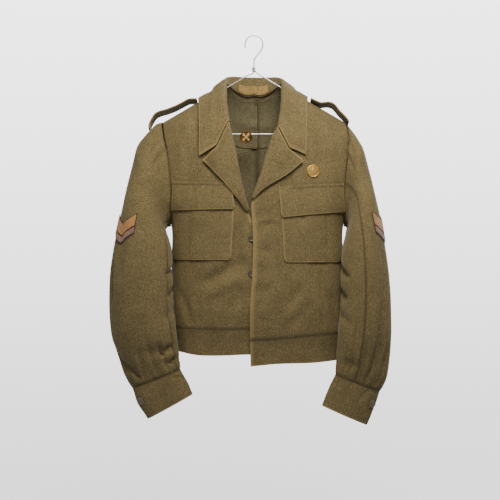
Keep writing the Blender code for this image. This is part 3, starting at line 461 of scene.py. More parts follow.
def body_normal(angle, z, face):
    step = 0.004
    across = body(angle + step, z, face) - body(angle - step, z, face)
    up = body(angle, z + step, face) - body(angle, z - step, face)
    normal = across.cross(up).normalized()
    return -normal if face == "back" else normal


def fullness(p):
    """Below 0 inside the shoulders and chest, above 0 outside."""
    drop = 1 - (shoulder_height(p.x) - p.z) / SHOULDER_ROUND
    half = along(BODY, p.z, RING_HALF)
    side = max(1 - (abs(p.x) / half) ** BODY_POWER, 0.001) ** (1 / BODY_POWER)
    depth = along(BODY, p.z, RING_FRONT if p.y < 0 else RING_BACK) * side
    return ((abs(p.y) / depth) ** ROUND_POWER + max(drop, 0.0) ** ROUND_POWER) ** (1 / ROUND_POWER) - 1


def settle(p, height, only_out=False):
    """The point brought to a height over the shoulders."""
    step = 0.0005
    for _ in range(6):
        level = fullness(p)
        slant = Vector()
        for axis in range(3):
            probe = p.copy()
            probe[axis] += step
            slant[axis] = (fullness(probe) - level) / step
        distance = level / slant.length
        if only_out and distance >= height:
            return p
        p = p + slant.normalized() * (height - distance)
    return p


def armhole(side, turn):
    """Armhole seam: turn 0 at the shoulder, a half turn at the armpit. Gives x and z."""
    top = shoulder_height(TIP_X)
    z = mix(top, PIT_Z, (1 - cos(turn)) / 2)
    return along(ARMHOLE[side], z, 1), z


def neck_drop(x):
    """How far the back neck seam lies below the shoulder line."""
    inside = max(1 - (x / NECK_HALF) ** 2, 0.0)
    depth = NECK_DEPTH * sqrt(inside) / along(BODY, SHOULDER_PEAK, RING_BACK)
    return SHOULDER_ROUND * (1 - (1 - depth ** ROUND_POWER) ** (1 / ROUND_POWER))


def seam_height(x, face):
    """Height of a panel's top edge: the shoulder seam, or the neck seam at the back."""
    return shoulder_height(x) - (neck_drop(x) if face == "back" else 0.0)


def bend(share, corner):
    """A straight edge's drop where it bends at a corner: share of the way, drop."""
    at, drop = corner
    return drop * (share / at if share < at else (1 - share) / (1 - at))


def collar_foot(place):
    """Neck seam under the collar."""
    if place < SHOULDER_PLACE or place > COLLAR_END - SHOULDER_PLACE:
        side = "right" if place < SHOULDER_PLACE else "left"
        end = min(place, COLLAR_END - place) / SHOULDER_PLACE
        gorge = along(COLLAR, 0 if side == "right" else COLLAR_END, 3)
        z = mix(gorge, shoulder_height(NECK_HALF), sin(end * pi / 2))
        x = along(FRONT_EDGE[side], z, 1) + copysign(STAND_INSET, place - COLLAR_END / 2)
        edge = body(angle_at(x, z), z, side)
        edge.y *= cos(end * pi / 2) ** 0.4 if end > 0.9 else 1
        edge.z += STAND_LIFT * end
        return edge
    turn = pi * (place - SHOULDER_PLACE) / (COLLAR_END - 2 * SHOULDER_PLACE)
    x = -NECK_HALF * cos(turn)
    z = shoulder_height(x) - neck_drop(x) + STAND_LIFT
    return Vector((x, NECK_DEPTH * sin(turn), z))


def collar_fold(place):
    return Vector([along(COLLAR, place, n) for n in (1, 2, 3)])


def collar_stand(place, t):
    """Outer face of the stand: t 0 at the neck seam, 1 just short of the fold."""
    return collar_foot(place).lerp(collar_fold(place) - Vector((0, 0, 0.002)), t)


def collar_leaf(place, t):
    """Underside of the leaf: t 0 at the fold, 1 at its edge."""
    leaf = Vector([along(COLLAR, place, n) for n in (4, 5, 6)])
    height = along(COLLAR, place, 7)
    end = min(place, COLLAR_END - place)
    p = collar_fold(place).lerp(leaf, t)
    p.z -= bend(t, GORGE["right" if place < COLLAR_END / 2 else "left"]) * ease(1 - end / 1.2)
    p.z += 0.004 * sin(pi * t) * ease(end / 3)
    return settle(p, height, only_out=t < 0.5)


def ring_centre(rows, place):
    """Centre of a sleeve or cuff ring, and its reach to the outer side and to the front."""
    outer = Vector([along(rows, place, n) for n in (1, 2, 3)])
    inner = Vector([along(rows, place, n) for n in (4, 5, 6)])
    wide = (outer - inner) / 2
    deep = Vector((0, -1, 0))
    deep -= wide * deep.dot(wide) / wide.length_squared
    return (outer + inner) / 2, wide, deep.normalized() * along(rows, place, 7)


def ring_point(rows, place, turn):
    """A point on a ring, turn 0 at its outer side, then the front."""
    centre, wide, deep = ring_centre(rows, place)
    return centre + wide * cos(turn) + deep * sin(turn)


def crease(side, place, turn):
    depth = 0.0
    degrees_round = turn * 180 / pi
    for at, angle, length, width, deep in SLEEVE_CREASES[side]:
        off = (degrees_round - angle + 180) % 360 - 180
        near = ((place - at) / length) ** 2 + (off / width) ** 2
        depth += deep * (1 - near) ** 2 if near < 1 else 0.0
    return depth


def sleeve(side, place, turn):
    """Outer surface of a sleeve: place 0 at the armhole, SLEEVE_END at the cuff."""
    turn %= 2 * pi
    p = ring_point(SLEEVE[side], place, turn)
    centre = ring_centre(SLEEVE[side], place)[0]
    p += (centre - p).normalized() * crease(side, place, turn)
    if place >= SLEEVE_BLEND:
        return p
    half_turn = turn if turn <= pi else 2 * pi - turn
    x, z = armhole(side, half_turn)
    seam = body(angle_at(x, z), z, "left" if turn <= pi else "back")
    if abs(turn) < 0.001 or abs(half_turn - pi) < 0.001:
        seam.y = 0
    seam.x += copysign(ARMHOLE_SEAM + SLEEVE_HEAD_GAP * max(cos(turn), 0.0), x)
    return seam.lerp(p, ease(place / SLEEVE_BLEND))


def sleeve_normal(side, place, turn):
    round_way = sleeve(side, place, turn + 0.02) - sleeve(side, place, turn - 0.02)
    down = sleeve(side, place + 0.1, turn) - sleeve(side, place - 0.1, turn)
    normal = round_way.cross(down).normalized()
    centre = (sleeve(side, place, turn + pi) + sleeve(side, place, turn)) / 2
    return normal if normal.dot(sleeve(side, place, turn) - centre) > 0 else -normal


def seam_inset(side, place, degrees_round, toward):
    """The step from a sleeve's seam into one of its pieces, square to the seam."""
    turn = radians(degrees_round)
    down = (sleeve(side, place + 0.1, turn) - sleeve(side, place - 0.1, turn)).normalized()
    return (toward - down * toward.dot(down)).normalized() * SLEEVE_SEAM / 2


def cuff(side, place, turn):
    return ring_point(CUFF[side], place, turn)


def sleeve_at(side, turn, z):
    """Place along the sleeve where a line at this turn reaches a height."""
    low = 3.0
    high = float(SLEEVE_END)
    for _ in range(30):
        middle = (low + high) / 2
        if sleeve(side, middle, turn).z > z:
            low = middle
        else:
            high = middle
    return low


def star_outline(radius):
    points = []
    for n in range(10):
        size = radius if n % 2 == 0 else radius * 0.42
        turn = pi / 2 + n * pi / 5
        points.append((size * cos(turn), size * sin(turn)))
    return points


def bar_outline(length, wide, narrow):
    """A bar that is wider at its ends than in the middle."""
    return (
        (-length, -wide),
        (0, -narrow),
        (length, -wide),
        (length, wide),
        (0, narrow),
        (-length, wide),
    )


def hanger_points():
    """The wire's centre line: hook, stem, one arm, bar, other arm, then the twist."""
    crown = -HOOK_RADIUS
    radius = HOOK_RADIUS + WIRE
    points = []
    for degrees_round in range(200, -31, -15):
        turn = radians(degrees_round)
        points.append((radius * cos(turn), 0, crown + radius * sin(turn)))
    points += [(0.0125, 0, -0.0335), (0.0062, 0, -0.0405), (0.0020, 0, -0.0460), (0, 0, -0.0530)]
    points += [(0, 0, -0.0620), (0, 0, -0.0720), (-0.0015, 0, -0.0775), (-0.0060, 0, -0.0805)]
    arm_foot = SHOULDER_PEAK - ARM_DROP
    for n in range(9):
        x = mix(0.014, HANGER_HALF, n / 8)
        points.append((-x, 0, arm_foot - SHOULDER_SLOPE * x))
    corner = [(0.1845, -0.1835), (0.1885, -0.1885), (0.1900, -0.1940), (0.1885, -0.1995), (0.1835, -0.2040)]
    points += [(-x, 0, z) for x, z in corner]
    for n in range(9):
        points.append((mix(-0.1765, 0.1765, n / 8), 0, BAR_Z))
    points += [(x, 0, z) for x, z in reversed(corner)]
    for n in range(9):
        x = mix(HANGER_HALF, 0.014, n / 8)
        points.append((x, 0, arm_foot - SHOULDER_SLOPE * x))
    coil = 2 * WIRE + 0.0004
    turns = 2.5
    steps = 25
    points += [(0.0085, -0.0012, -0.0795), (0.0052, -0.0010, -0.0772)]
    for n in range(steps + 1):
        turn = 2 * pi * turns * n / steps
        z = mix(-0.0745, -0.0745 + turns * 0.0034, n / steps)
        points.append((coil * cos(turn), coil * sin(turn), z))
    return points


# Creases of the fronts and the back: x and z of both ends, half width, height
CREASES = {
    "right": (
        (-0.1147, -0.4790, -0.1147, -0.6120, 0.0016, -0.0013),
        (-0.1110, -0.4790, -0.1110, -0.6120, 0.0040, 0.0008),
        (-0.1060, -0.5200, -0.0260, -0.4740, 0.0170, -0.0042),
        (-0.0920, -0.5420, -0.0300, -0.5060, 0.0130, 0.0026),
        (-0.0340, -0.4000, -0.0370, -0.4700, 0.0120, -0.0034),
        (-0.0200, -0.4050, -0.0180, -0.4700, 0.0090, 0.0022),
        (-0.0520, -0.5750, -0.0200, -0.5300, 0.0140, -0.0022),
        (-0.1390, -0.2750, -0.1150, -0.1900, 0.0160, -0.0026),
        (-0.1560, -0.2500, -0.1320, -0.1850, 0.0120, 0.0016),
        (-0.0880, -0.2900, -0.1000, -0.2500, 0.0150, -0.0020),
        (-0.1500, -0.5400, -0.1300, -0.6000, 0.0120, -0.0018),
        (-0.0800, -0.5600, -0.0860, -0.6100, 0.0110, 0.0014),
    ),
    "left": (
        (0.1352, -0.5050, 0.1416, -0.6260, 0.0016, -0.0013),
        (0.1315, -0.5050, 0.1379, -0.6260, 0.0040, 0.0008),
        (0.0455, -0.3300, 0.0478, -0.6300, 0.0015, -0.0010),
        (0.0505, -0.3600, 0.0530, -0.6300, 0.0040, 0.0006),
        (0.0310, -0.3600, 0.0330, -0.4700, 0.0110, -0.0024),
        (0.0040, -0.3860, 0.0280, -0.3700, 0.0075, -0.0016),
        (0.0060, -0.4080, 0.0330, -0.3930, 0.0070, -0.0026),
        (0.0080, -0.4360, 0.0250, -0.4270, 0.0060, 0.0016),
        (0.0100, -0.4580, 0.0340, -0.4470, 0.0065, -0.0026),
        (0.0060, -0.4900, 0.0310, -0.4800, 0.0060, -0.0024),
        (0.0080, -0.5120, 0.0280, -0.5090, 0.0060, 0.0015),
        (0.0050, -0.5420, 0.0300, -0.5280, 0.0070, -0.0030),
        (0.0030, -0.5640, 0.0260, -0.5520, 0.0050, -0.0021),
        (0.0060, -0.6030, 0.0300, -0.5870, 0.0065, -0.0024),
        (0.0040, -0.6220, 0.0240, -0.6150, 0.0050, -0.0016),
        (0.0620, -0.5700, 0.1000, -0.5250, 0.0150, -0.0024),
        (0.0700, -0.6050, 0.1150, -0.5650, 0.0130, -0.0018),
        (0.1400, -0.2700, 0.1250, -0.1900, 0.0160, -0.0022),
        (0.1650, -0.2550, 0.1500, -0.1900, 0.0120, 0.0015),
        (0.0800, -0.3050, 0.0560, -0.3250, 0.0110, -0.0020),
        (0.1600, -0.5400, 0.1700, -0.6000, 0.0120, -0.0018),
    ),
    "back": (
        (-0.1500, -0.2300, -0.1050, -0.3300, 0.0170, -0.0034),
        (0.1580, -0.2300, 0.1200, -0.3400, 0.0170, -0.0032),
        (-0.1650, -0.3900, -0.0900, -0.4400, 0.0160, -0.0034),
        (0.1750, -0.3900, 0.0950, -0.4500, 0.0160, -0.0036),
        (-0.0900, -0.5000, -0.0750, -0.6100, 0.0140, -0.0034),
        (-0.0350, -0.5300, -0.0450, -0.6120, 0.0120, -0.0030),
        (0.0450, -0.5200, 0.0500, -0.6140, 0.0130, -0.0034),
        (0.1100, -0.4900, 0.0950, -0.6150, 0.0150, -0.0036),
        (-0.1300, -0.5300, -0.1250, -0.6050, 0.0110, 0.0022),
        (0.0720, -0.5300, 0.0740, -0.6100, 0.0110, 0.0024),
        (-0.0300, -0.1800, 0.0400, -0.1850, 0.0140, -0.0016),
    ),
}
# Slow rise and fall of the cloth: waves for each metre, height
SWELL = ((11.0, 0.0011), (34.0, 0.0006))

# Creases of the sleeves on a flat chart: degrees round and place along at both ends,
# half width, height. One degree is 1 mm on the chart and one place is PLACE_STEP.
PLACE_STEP = 0.040
SLEEVE_MARKS = {
    "right": (
        (48, 0.5, 56, 2.3, 0.0050, -0.0022),
        (58, 0.4, 66, 2.0, 0.0045, 0.0015),
        (68, 0.5, 76, 2.4, 0.0050, -0.0024),
        (84, 0.8, 90, 2.6, 0.0060, -0.0014),
        (24, 8.8, 30, 10.6, 0.0090, -0.0022),
        (46, 7.2, 52, 9.4, 0.0140, -0.0018),
        (100, 12.3, 98, 14.4, 0.0050, -0.0022),
        (120, 12.7, 128, 14.7, 0.0060, -0.0026),
        (78, 13.0, 70, 14.7, 0.0060, -0.0022),
        (30, 13.4, 60, 14.5, 0.0070, -0.0036),
        (12, 12.6, 34, 13.9, 0.0080, -0.0024),
        (150, 13.0, 120, 13.5, 0.0070, -0.0036),
        (160, 13.9, 130, 14.3, 0.0060, -0.0032),
        (200, 8.3, 150, 8.9, 0.0120, -0.0040),
        (205, 9.4, 160, 10.1, 0.0110, -0.0036),
        (190, 10.8, 140, 11.3, 0.0110, -0.0028),
        (215, 12.0, 190, 13.6, 0.0090, -0.0030),
        (245, 12.2, 240, 14.6, 0.0070, -0.0026),
        (-60, 11.8, -52, 14.6, 0.0080, -0.0030),
        (-30, 12.6, -34, 14.7, 0.0070, -0.0024),
        (-80, 6.8, -40, 8.0, 0.0140, -0.0034),
        (-85, 8.6, -46, 9.4, 0.0130, -0.0036),
        (-70, 1.2, -60, 3.0, 0.0090, -0.0022),
    ),
    "left": (
        (46, 0.5, 54, 2.4, 0.0050, -0.0022),
        (58, 0.5, 64, 2.0, 0.0045, 0.0012),
        (70, 0.6, 78, 2.6, 0.0055, -0.0020),
        (60, 10.4, 78, 14.7, 0.0070, -0.0034),
        (50, 8.6, 56, 13.0, 0.0100, -0.0026),
        (90, 12.4, 92, 14.7, 0.0055, -0.0022),
        (34, 12.6, 48, 14.6, 0.0070, -0.0026),
        (118, 11.6, 122, 14.6, 0.0060, -0.0024),
        (138, 12.8, 134, 14.7, 0.0060, -0.0026),
        (200, 8.2, 150, 9.0, 0.0120, -0.0040),
        (208, 9.6, 158, 10.2, 0.0110, -0.0034),
        (186, 11.0, 140, 11.4, 0.0100, -0.0028),
        (216, 12.2, 196, 13.9, 0.0090, -0.0030),
        (244, 12.4, 240, 14.6, 0.0070, -0.0026),
        (-64, 11.9, -54, 14.6, 0.0080, -0.0030),
        (-32, 12.4, -28, 14.7, 0.0070, -0.0026),
        (-84, 7.0, -44, 8.1, 0.0140, -0.0036),
        (-88, 8.9, -50, 9.8, 0.0130, -0.0034),
        (-72, 1.2, -60, 3.2, 0.0090, -0.0022),
    ),
}
CUFF_STEP = 0.035
CUFF_MARKS = {
    "right": (
        (128, 0.35, 176, 0.75, 0.0060, -0.0020),
        (70, 0.10, 62, 0.80, 0.0070, -0.0012),
        (110, 0.70, 80, 1.50, 0.0120, -0.0014),
        (215, 0.20, 250, 1.20, 0.0100, -0.0016),
        (-60, 0.30, -50, 1.40, 0.0100, -0.0014),
    ),
    "left": (
        (60, 0.10, 74, 1.10, 0.0080, -0.0014),
        (112, 0.20, 104, 1.30, 0.0100, -0.0014),
        (150, 0.50, 176, 1.00, 0.0070, -0.0016),
        (215, 0.20, 250, 1.20, 0.0100, -0.0016),
        (-62, 0.30, -48, 1.40, 0.0100, -0.0014),
    ),
}
# Creases of the collar's leaf: place and share of the leaf at both ends on a flat chart
COLLAR_STEP = 0.045
LEAF_STEP = 0.080
COLLAR_MARKS = (
    (0.5, 0.30, 2.4, 0.22, 0.0090, -0.0014),
    (1.2, 0.70, 2.9, 0.55, 0.0100, -0.0012),
    (3.4, 0.20, 3.2, 0.90, 0.0080, -0.0016),
    (4.6, 0.30, 4.9, 0.90, 0.0080, -0.0014),
    (7.4, 0.30, 7.1, 0.90, 0.0080, -0.0014),
    (8.8, 0.20, 8.7, 0.90, 0.0080, -0.0016),
    (9.4, 0.55, 11.0, 0.65, 0.0100, -0.0012),
    (9.6, 0.25, 11.5, 0.30, 0.0090, -0.0014),
)

# Fine grids
ROUND_RIM = 3
FINE_TURNS = [0] + [9 + 162 * n / 36 for n in range(37)] + [180]
FINE_COLUMNS = 42
FINE_SIDE_ROWS = 27
POCKET_ROUND = 0.007
FLAP_ROUND = 0.006

# Sewing
STITCH = 0.0027
STITCH_GAP = 0.0013
THREAD = 0.00026
EDGE_STITCH = 0.0042

# Worn rims and the painted shade along seams: how far they reach in from a border
WORN_RIM = 0.0021
FRONT_RIM = 0.0050
SEAM_SHADE_REACH = 0.0026

# How far each sewn border reaches into its seam, so that no light passes
SEAM_CLOSE = 0.0009

# All creases are this much deeper than in the tables
CREASE_GAIN = 2.1

# Floor and surroundings: brightness seen low and high, and the light they give
FLOOR_Z = -1.10
FLOOR_RADIUS = 2.6
PALE_LOW = 1.5
PALE_HIGH = 3.9
FLOOR_GLOW = 1.15
FLOOR_RIM_GLOW = 2.0
AMBIENT = 0.26

# Colours, in Blender's linear values
WOOL_DARK = (0.068, 0.048, 0.016, 1.0)
WOOL_MID = (0.158, 0.117, 0.047, 1.0)
WOOL_LIGHT = (0.285, 0.222, 0.106, 1.0)
WORN = (0.420, 0.290, 0.105, 1.0)
INNER_DARK = (0.070, 0.062, 0.032, 1.0)
INNER_MID = (0.145, 0.122, 0.062, 1.0)
INNER_LIGHT = (0.245, 0.212, 0.118, 1.0)
# Painted shade: the colour the cloth darkens to along its seams
PAINTED_SEAM_SHADE = (0.030, 0.020, 0.007, 1.0)
TAPE_COLOUR = (0.480, 0.300, 0.085, 1.0)
GOLD_THREAD = (0.560, 0.250, 0.060, 1.0)
PALE_THREAD = (0.330, 0.170, 0.095, 1.0)
BADGE_GROUND = (0.060, 0.018, 0.010, 1.0)
SEWING_THREAD = (0.150, 0.112, 0.048, 1.0)


def line_lift(marks, x, z):
    """Height of soft troughs and ridges at a point: x and z of both ends, half width, height."""
    lift = 0.0
    for x0, z0, x1, z1, half, height in marks:
        dx = x1 - x0
        dz = z1 - z0
        length = hypot(dx, dz)
        t = ((x - x0) * dx + (z - z0) * dz) / length ** 2
        if -0.2 < t < 1.2:
            off = ((x - x0) * dz - (z - z0) * dx) / length / half
            if abs(off) < 1:
                fade = ease((t + 0.2) / 0.4) * ease((1.2 - t) / 0.4)
                lift += CREASE_GAIN * height * (1 - off * off) ** 2 * fade
    return lift


def chart(marks, across, along_step):
    """Marks given in degrees or places, in the metres of a flat chart."""
    return [
        (a0 * across, b0 * along_step, a1 * across, b1 * along_step, half, height)
        for a0, b0, a1, b1, half, height in marks
    ]


SLEEVE_CHART = {side: chart(SLEEVE_MARKS[side], 0.001, PLACE_STEP) for side in SLEEVE_MARKS}
CUFF_CHART = {side: chart(CUFF_MARKS[side], 0.001, CUFF_STEP) for side in CUFF_MARKS}
COLLAR_CHART = chart(COLLAR_MARKS, COLLAR_STEP, LEAF_STEP)


def swell(a, b, seed):
    return sum(high * noise.noise((a * waves, b * waves * 0.7, seed)) for waves, high in SWELL)


def relief(angle, x, z, face):
    """How far the creased cloth lies off a body panel's plain surface."""
    lift = line_lift(CREASES[face], x, z) + swell(x, z, len(face))
    keep = ease(cos(angle) / 0.3) * ease((z - along(WAIST[face], x, 1)) / 0.014)
    keep *= ease((shoulder_height(x) - z) / 0.030)
    if z > PIT_Z:
        side = "right" if x < 0 else "left"
        keep *= ease((abs(along(ARMHOLE[side], z, 1)) - abs(x)) / 0.018)
    return lift * keep


def surf(angle, z, face, lift=0.0):
    """A point of the creased cloth of a body panel, moved out by a lift."""
    p = body(angle, z, face)
    return p + body_normal(angle, z, face) * (lift + relief(angle, p.x, z, face))


def on_body(x, z, face, lift):
    return surf(angle_at(x, z), z, face, lift)


def grid_normals(rows):
    """Outward normals of a grid of points."""
    last_row = len(rows) - 1
    last = len(rows[0]) - 1
    normals = []
    for i, row in enumerate(rows):
        up = rows[max(i - 1, 0)]
        low = rows[min(i + 1, last_row)]
        line = []
        for k in range(last + 1):
            across = row[min(k + 1, last)] - row[max(k - 1, 0)]
            line.append((low[k] - up[k]).cross(across).normalized())
        normals.append(line)
    return normals


def ring_normals(rows):
    """Outward normals of a closed ring of points."""
    wide = [[row[-1]] + row + [row[0]] for row in rows]
    return [line[1:-1] for line in grid_normals(wide)]


def gaps_to(points):
    """Distance of each point of a line from the line's first point."""
    far = [0.0]
    for a, b in zip(points, points[1:]):
        far.append(far[-1] + (b - a).length)
    return far


def border_distances(rows, ring):
    """Distances of each point of a grid from its top, bottom, start and end borders."""
    columns = list(zip(*rows))
    down = [gaps_to(column) for column in columns]
    across = [gaps_to(row) for row in rows]
    distances = []
    for i in range(len(rows)):
        line = []
        for k in range(len(rows[0])):
            top = down[k][i]
            bottom = down[k][-1] - top
            start = 1.0 if ring else across[i][k]
            end = 1.0 if ring else across[i][-1] - across[i][k]
            line.append({"t": top, "b": bottom, "s": start, "e": end})
        distances.append(line)
    return distances


def cloth(name, rows, looks, thickness, free="", outward=False, ring=False, node=None, rim_width=WORN_RIM):
    """A shell with rounded rims from a grid of points on its outer face.

    Looks are its outer and inner materials. Free names the borders (t top row, b bottom
    row, s first column, e last column) that are worn rims, and the others are seams.
    """
    normals = ring_normals(rows) if ring else grid_normals(rows)
    if outward:
        rows = [[p + n * thickness for p, n in zip(*pair)] for pair in zip(rows, normals)]
    last_row = len(rows) - 1
    last = len(rows[0]) - 1
    distances = border_distances(rows, ring)
    vertices = []
    wear = []
    seam = []
    radius = thickness / 2

    def add(p, distance):
        vertices.append(p)
        near_free = min([distance[b] for b in "tbse" if b in free], default=1.0)
        # Painted shade: nearness to a sewn border, where the seam's hollow would be shaded, darkens the cloth
        near_shaded_seam = min([distance[b] for b in "tbse" if b not in free], default=1.0)
        wear.append(max(1 - near_free / rim_width, 0.0))
        seam.append(max(1 - near_shaded_seam / SEAM_SHADE_REACH, 0.0))
        return len(vertices) - 1

    def rim_direction(i, k):
        out = Vector()
        if i == 0:
            out += (rows[0][k] - rows[1][k]).normalized()
        if i == last_row:
            out += (rows[-1][k] - rows[-2][k]).normalized()
        if not ring and k == 0:
            out += (rows[i][0] - rows[i][1]).normalized()
        if not ring and k == last:
            out += (rows[i][-1] - rows[i][-2]).normalized()
        n = normals[i][k]
        return (out - n * out.dot(n)).normalized()

    front = []
    back = []
    rim = {}
    for i in range(last_row + 1):
        front_line = []
        back_line = []
        for k in range(last + 1):
            p = rows[i][k]
            n = normals[i][k]
            border = i in (0, last_row) or (not ring and k in (0, last))
            out = rim_direction(i, k) if border else Vector()
            sewn_here = ["t"] * (i == 0) + ["b"] * (i == last_row)
            sewn_here += ["s"] * (not ring and k == 0) + ["e"] * (not ring and k == last)
            reach = SEAM_CLOSE if border and not any(b in free for b in sewn_here) else 0.0
            p = p - out * (radius - reach)
            front_line.append(add(p, distances[i][k]))
            if border:
                steps = []
                for step in range(1, ROUND_RIM + 1):
                    turn = pi * step / (ROUND_RIM + 1)
                    q = p - n * radius * (1 - cos(turn)) + out * radius * sin(turn)
                    steps.append(add(q, distances[i][k]))
                rim[(i, k)] = steps
            back_line.append(add(p - n * thickness, distances[i][k]))
        front.append(front_line)
        back.append(back_line)

    faces = []
    inner = []
    for i in range(last_row):
        for k in range(last + 1 if ring else last):
            j = (k + 1) % (last + 1)
            faces.append((front[i][k], front[i + 1][k], front[i + 1][j], front[i][j]))
            inner.append((back[i][j], back[i + 1][j], back[i + 1][k], back[i][k]))
    if ring:
        loops = [[(i, k) for k in range(last + 1)] for i in (0, last_row)]
    else:
        loop = [(0, k) for k in range(last)] + [(i, last) for i in range(last_row)]
        loop += [(last_row, k) for k in range(last, 0, -1)] + [(i, 0) for i in range(last_row, 0, -1)]
        loops = [loop]
    for loop in loops:
        for a, b in zip(loop, loop[1:] + loop[:1]):
            chain_a = [front[a[0]][a[1]], *rim[a], back[a[0]][a[1]]]
            chain_b = [front[b[0]][b[1]], *rim[b], back[b[0]][b[1]]]
            for n in range(len(chain_a) - 1):
                faces.append((chain_a[n], chain_b[n], chain_b[n + 1], chain_a[n + 1]))
    mesh = bpy.data.meshes.new(name)
    mesh.from_pydata(vertices, [], faces + inner)
    mesh.polygons.foreach_set("material_index", [0] * len(faces) + [1] * len(inner))
    for label, values in (("wear", wear), ("seam", seam)):
        layer = mesh.attributes.new(label, "FLOAT", "POINT")
        layer.data.foreach_set("value", values)
    work = bmesh.new()
    work.from_mesh(mesh)
    bmesh.ops.recalc_face_normals(work, faces=work.faces)
    work.to_mesh(mesh)
    work.free()
    mesh.shade_smooth()
    for look in looks:
        mesh.materials.append(look)
    made = bpy.data.objects.new(name, mesh)
    bpy.context.scene.collection.objects.link(made)
    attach(made, "root")
    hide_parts(node or name)
    return made


def facing_out(rows, mirrored):
    return [list(reversed(row)) for row in rows] if mirrored else rows


sewn = []


def sew(points, normals):
    """Keeps a line of stitches to be made, with the cloth's normals along it."""
    sewn.append((points, normals))


def topstitch(rows, borders, distance=EDGE_STITCH, lift=0.0, ring=False):
    """A line of stitches inside a border of a grid, at a distance from it."""
    normals = ring_normals(rows) if ring else grid_normals(rows)
    for border in borders:
        lines = list(zip(rows, normals)) if border in "se" else list(zip(zip(*rows), zip(*normals)))
        points = []
        facing = []
        for line, facing_line in lines:
            line = list(line)
            facing_line = list(facing_line)
            if border in "eb":
                line.reverse()
                facing_line.reverse()
            far = gaps_to(line)
            n = max(i for i in range(len(far) - 1) if far[i] <= distance)
            t = (distance - far[n]) / (far[n + 1] - far[n])
            normal = facing_line[n].lerp(facing_line[n + 1], min(t, 1.0))
            points.append(line[n].lerp(line[n + 1], min(t, 1.0)) + normal * lift)
            facing.append(normal)
        if ring:
            points.append(points[0])
            facing.append(facing[0])
        far = gaps_to(points)
        if not ring:
            kept = [n for n in range(len(far)) if distance * 0.9 < far[n] < far[-1] - distance * 0.9]
            points = [points[n] for n in kept]
            facing = [facing[n] for n in kept]
        sew(points, facing)


def make_stitches(name, lines, look):
    """All the kept lines of sewing as one joined mesh of short threads."""
    vertices = []
    faces = []
    for points, normals in lines:
        if len(points) < 2:
            continue
        far = gaps_to(points)

        def at(s):
            n = max(i for i in range(len(far) - 1) if far[i] <= s)
            t = (s - far[n]) / max(far[n + 1] - far[n], 1e-6)
            return points[n].lerp(points[n + 1], t), normals[n]

        s = STITCH_GAP
        while s + STITCH < far[-1]:
            start, normal = at(s)
            end, _ = at(s + STITCH)
            side = (end - start).cross(normal).normalized() * THREAD
            up = normal * THREAD
            base = len(vertices)
            vertices.append(start)
            for t in (0.18, 0.82):
                middle = start.lerp(end, t) + up * 0.6
                vertices += [middle + side, middle + up, middle - side, middle - up]
            vertices.append(end)
            for n in range(4):
                m = (n + 1) % 4
                faces.append((base, base + 1 + n, base + 1 + m))
                faces.append((base + 1 + n, base + 5 + n, base + 5 + m, base + 1 + m))
                faces.append((base + 5 + n, base + 9, base + 5 + m))
            s += STITCH + STITCH_GAP
    mesh = bpy.data.meshes.new(name)
    mesh.from_pydata(vertices, [], faces)
    work = bmesh.new()
    work.from_mesh(mesh)
    bmesh.ops.recalc_face_normals(work, faces=work.faces)
    work.to_mesh(mesh)
    work.free()
    mesh.shade_smooth()
    mesh.materials.append(look)
    made = bpy.data.objects.new(name, mesh)
    bpy.context.scene.collection.objects.link(made)
    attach(made, "root")
    return made


def node_maker(name):
    """A new material, its shader, and short ways to add a node and a link."""
    made = bpy.data.materials.new(name)
    made.use_nodes = True
    tree = made.node_tree
    shader = tree.nodes["Principled BSDF"]

    def add(kind, **values):
        node = tree.nodes.new(kind)
        for key, value in values.items():
            if hasattr(node, key):
                setattr(node, key, value)
            else:
                node.inputs[key.replace("_", " ").title()].default_value = value
        return node

    return made, shader, add, tree.links.new


def blend_colours(add, link, kind, factor, a, b):
    """A colour mix node: its inputs may be colours or sockets."""
    node = add("ShaderNodeMix", data_type="RGBA", blend_type=kind)
    for socket, value in ((node.inputs["Factor"], factor), (node.inputs["A"], a), (node.inputs["B"], b)):
        if socket.type == "VALUE" and not isinstance(value, (int, float)):
            link(value, socket)
        elif socket.type == "VALUE":
            socket.default_value = value
    for socket, value in zip([s for s in node.inputs if s.type == "RGBA"], (a, b)):
        if isinstance(value, tuple):
            socket.default_value = value
        else:
            link(value, socket)
    return [s for s in node.outputs if s.type == "RGBA"][0]


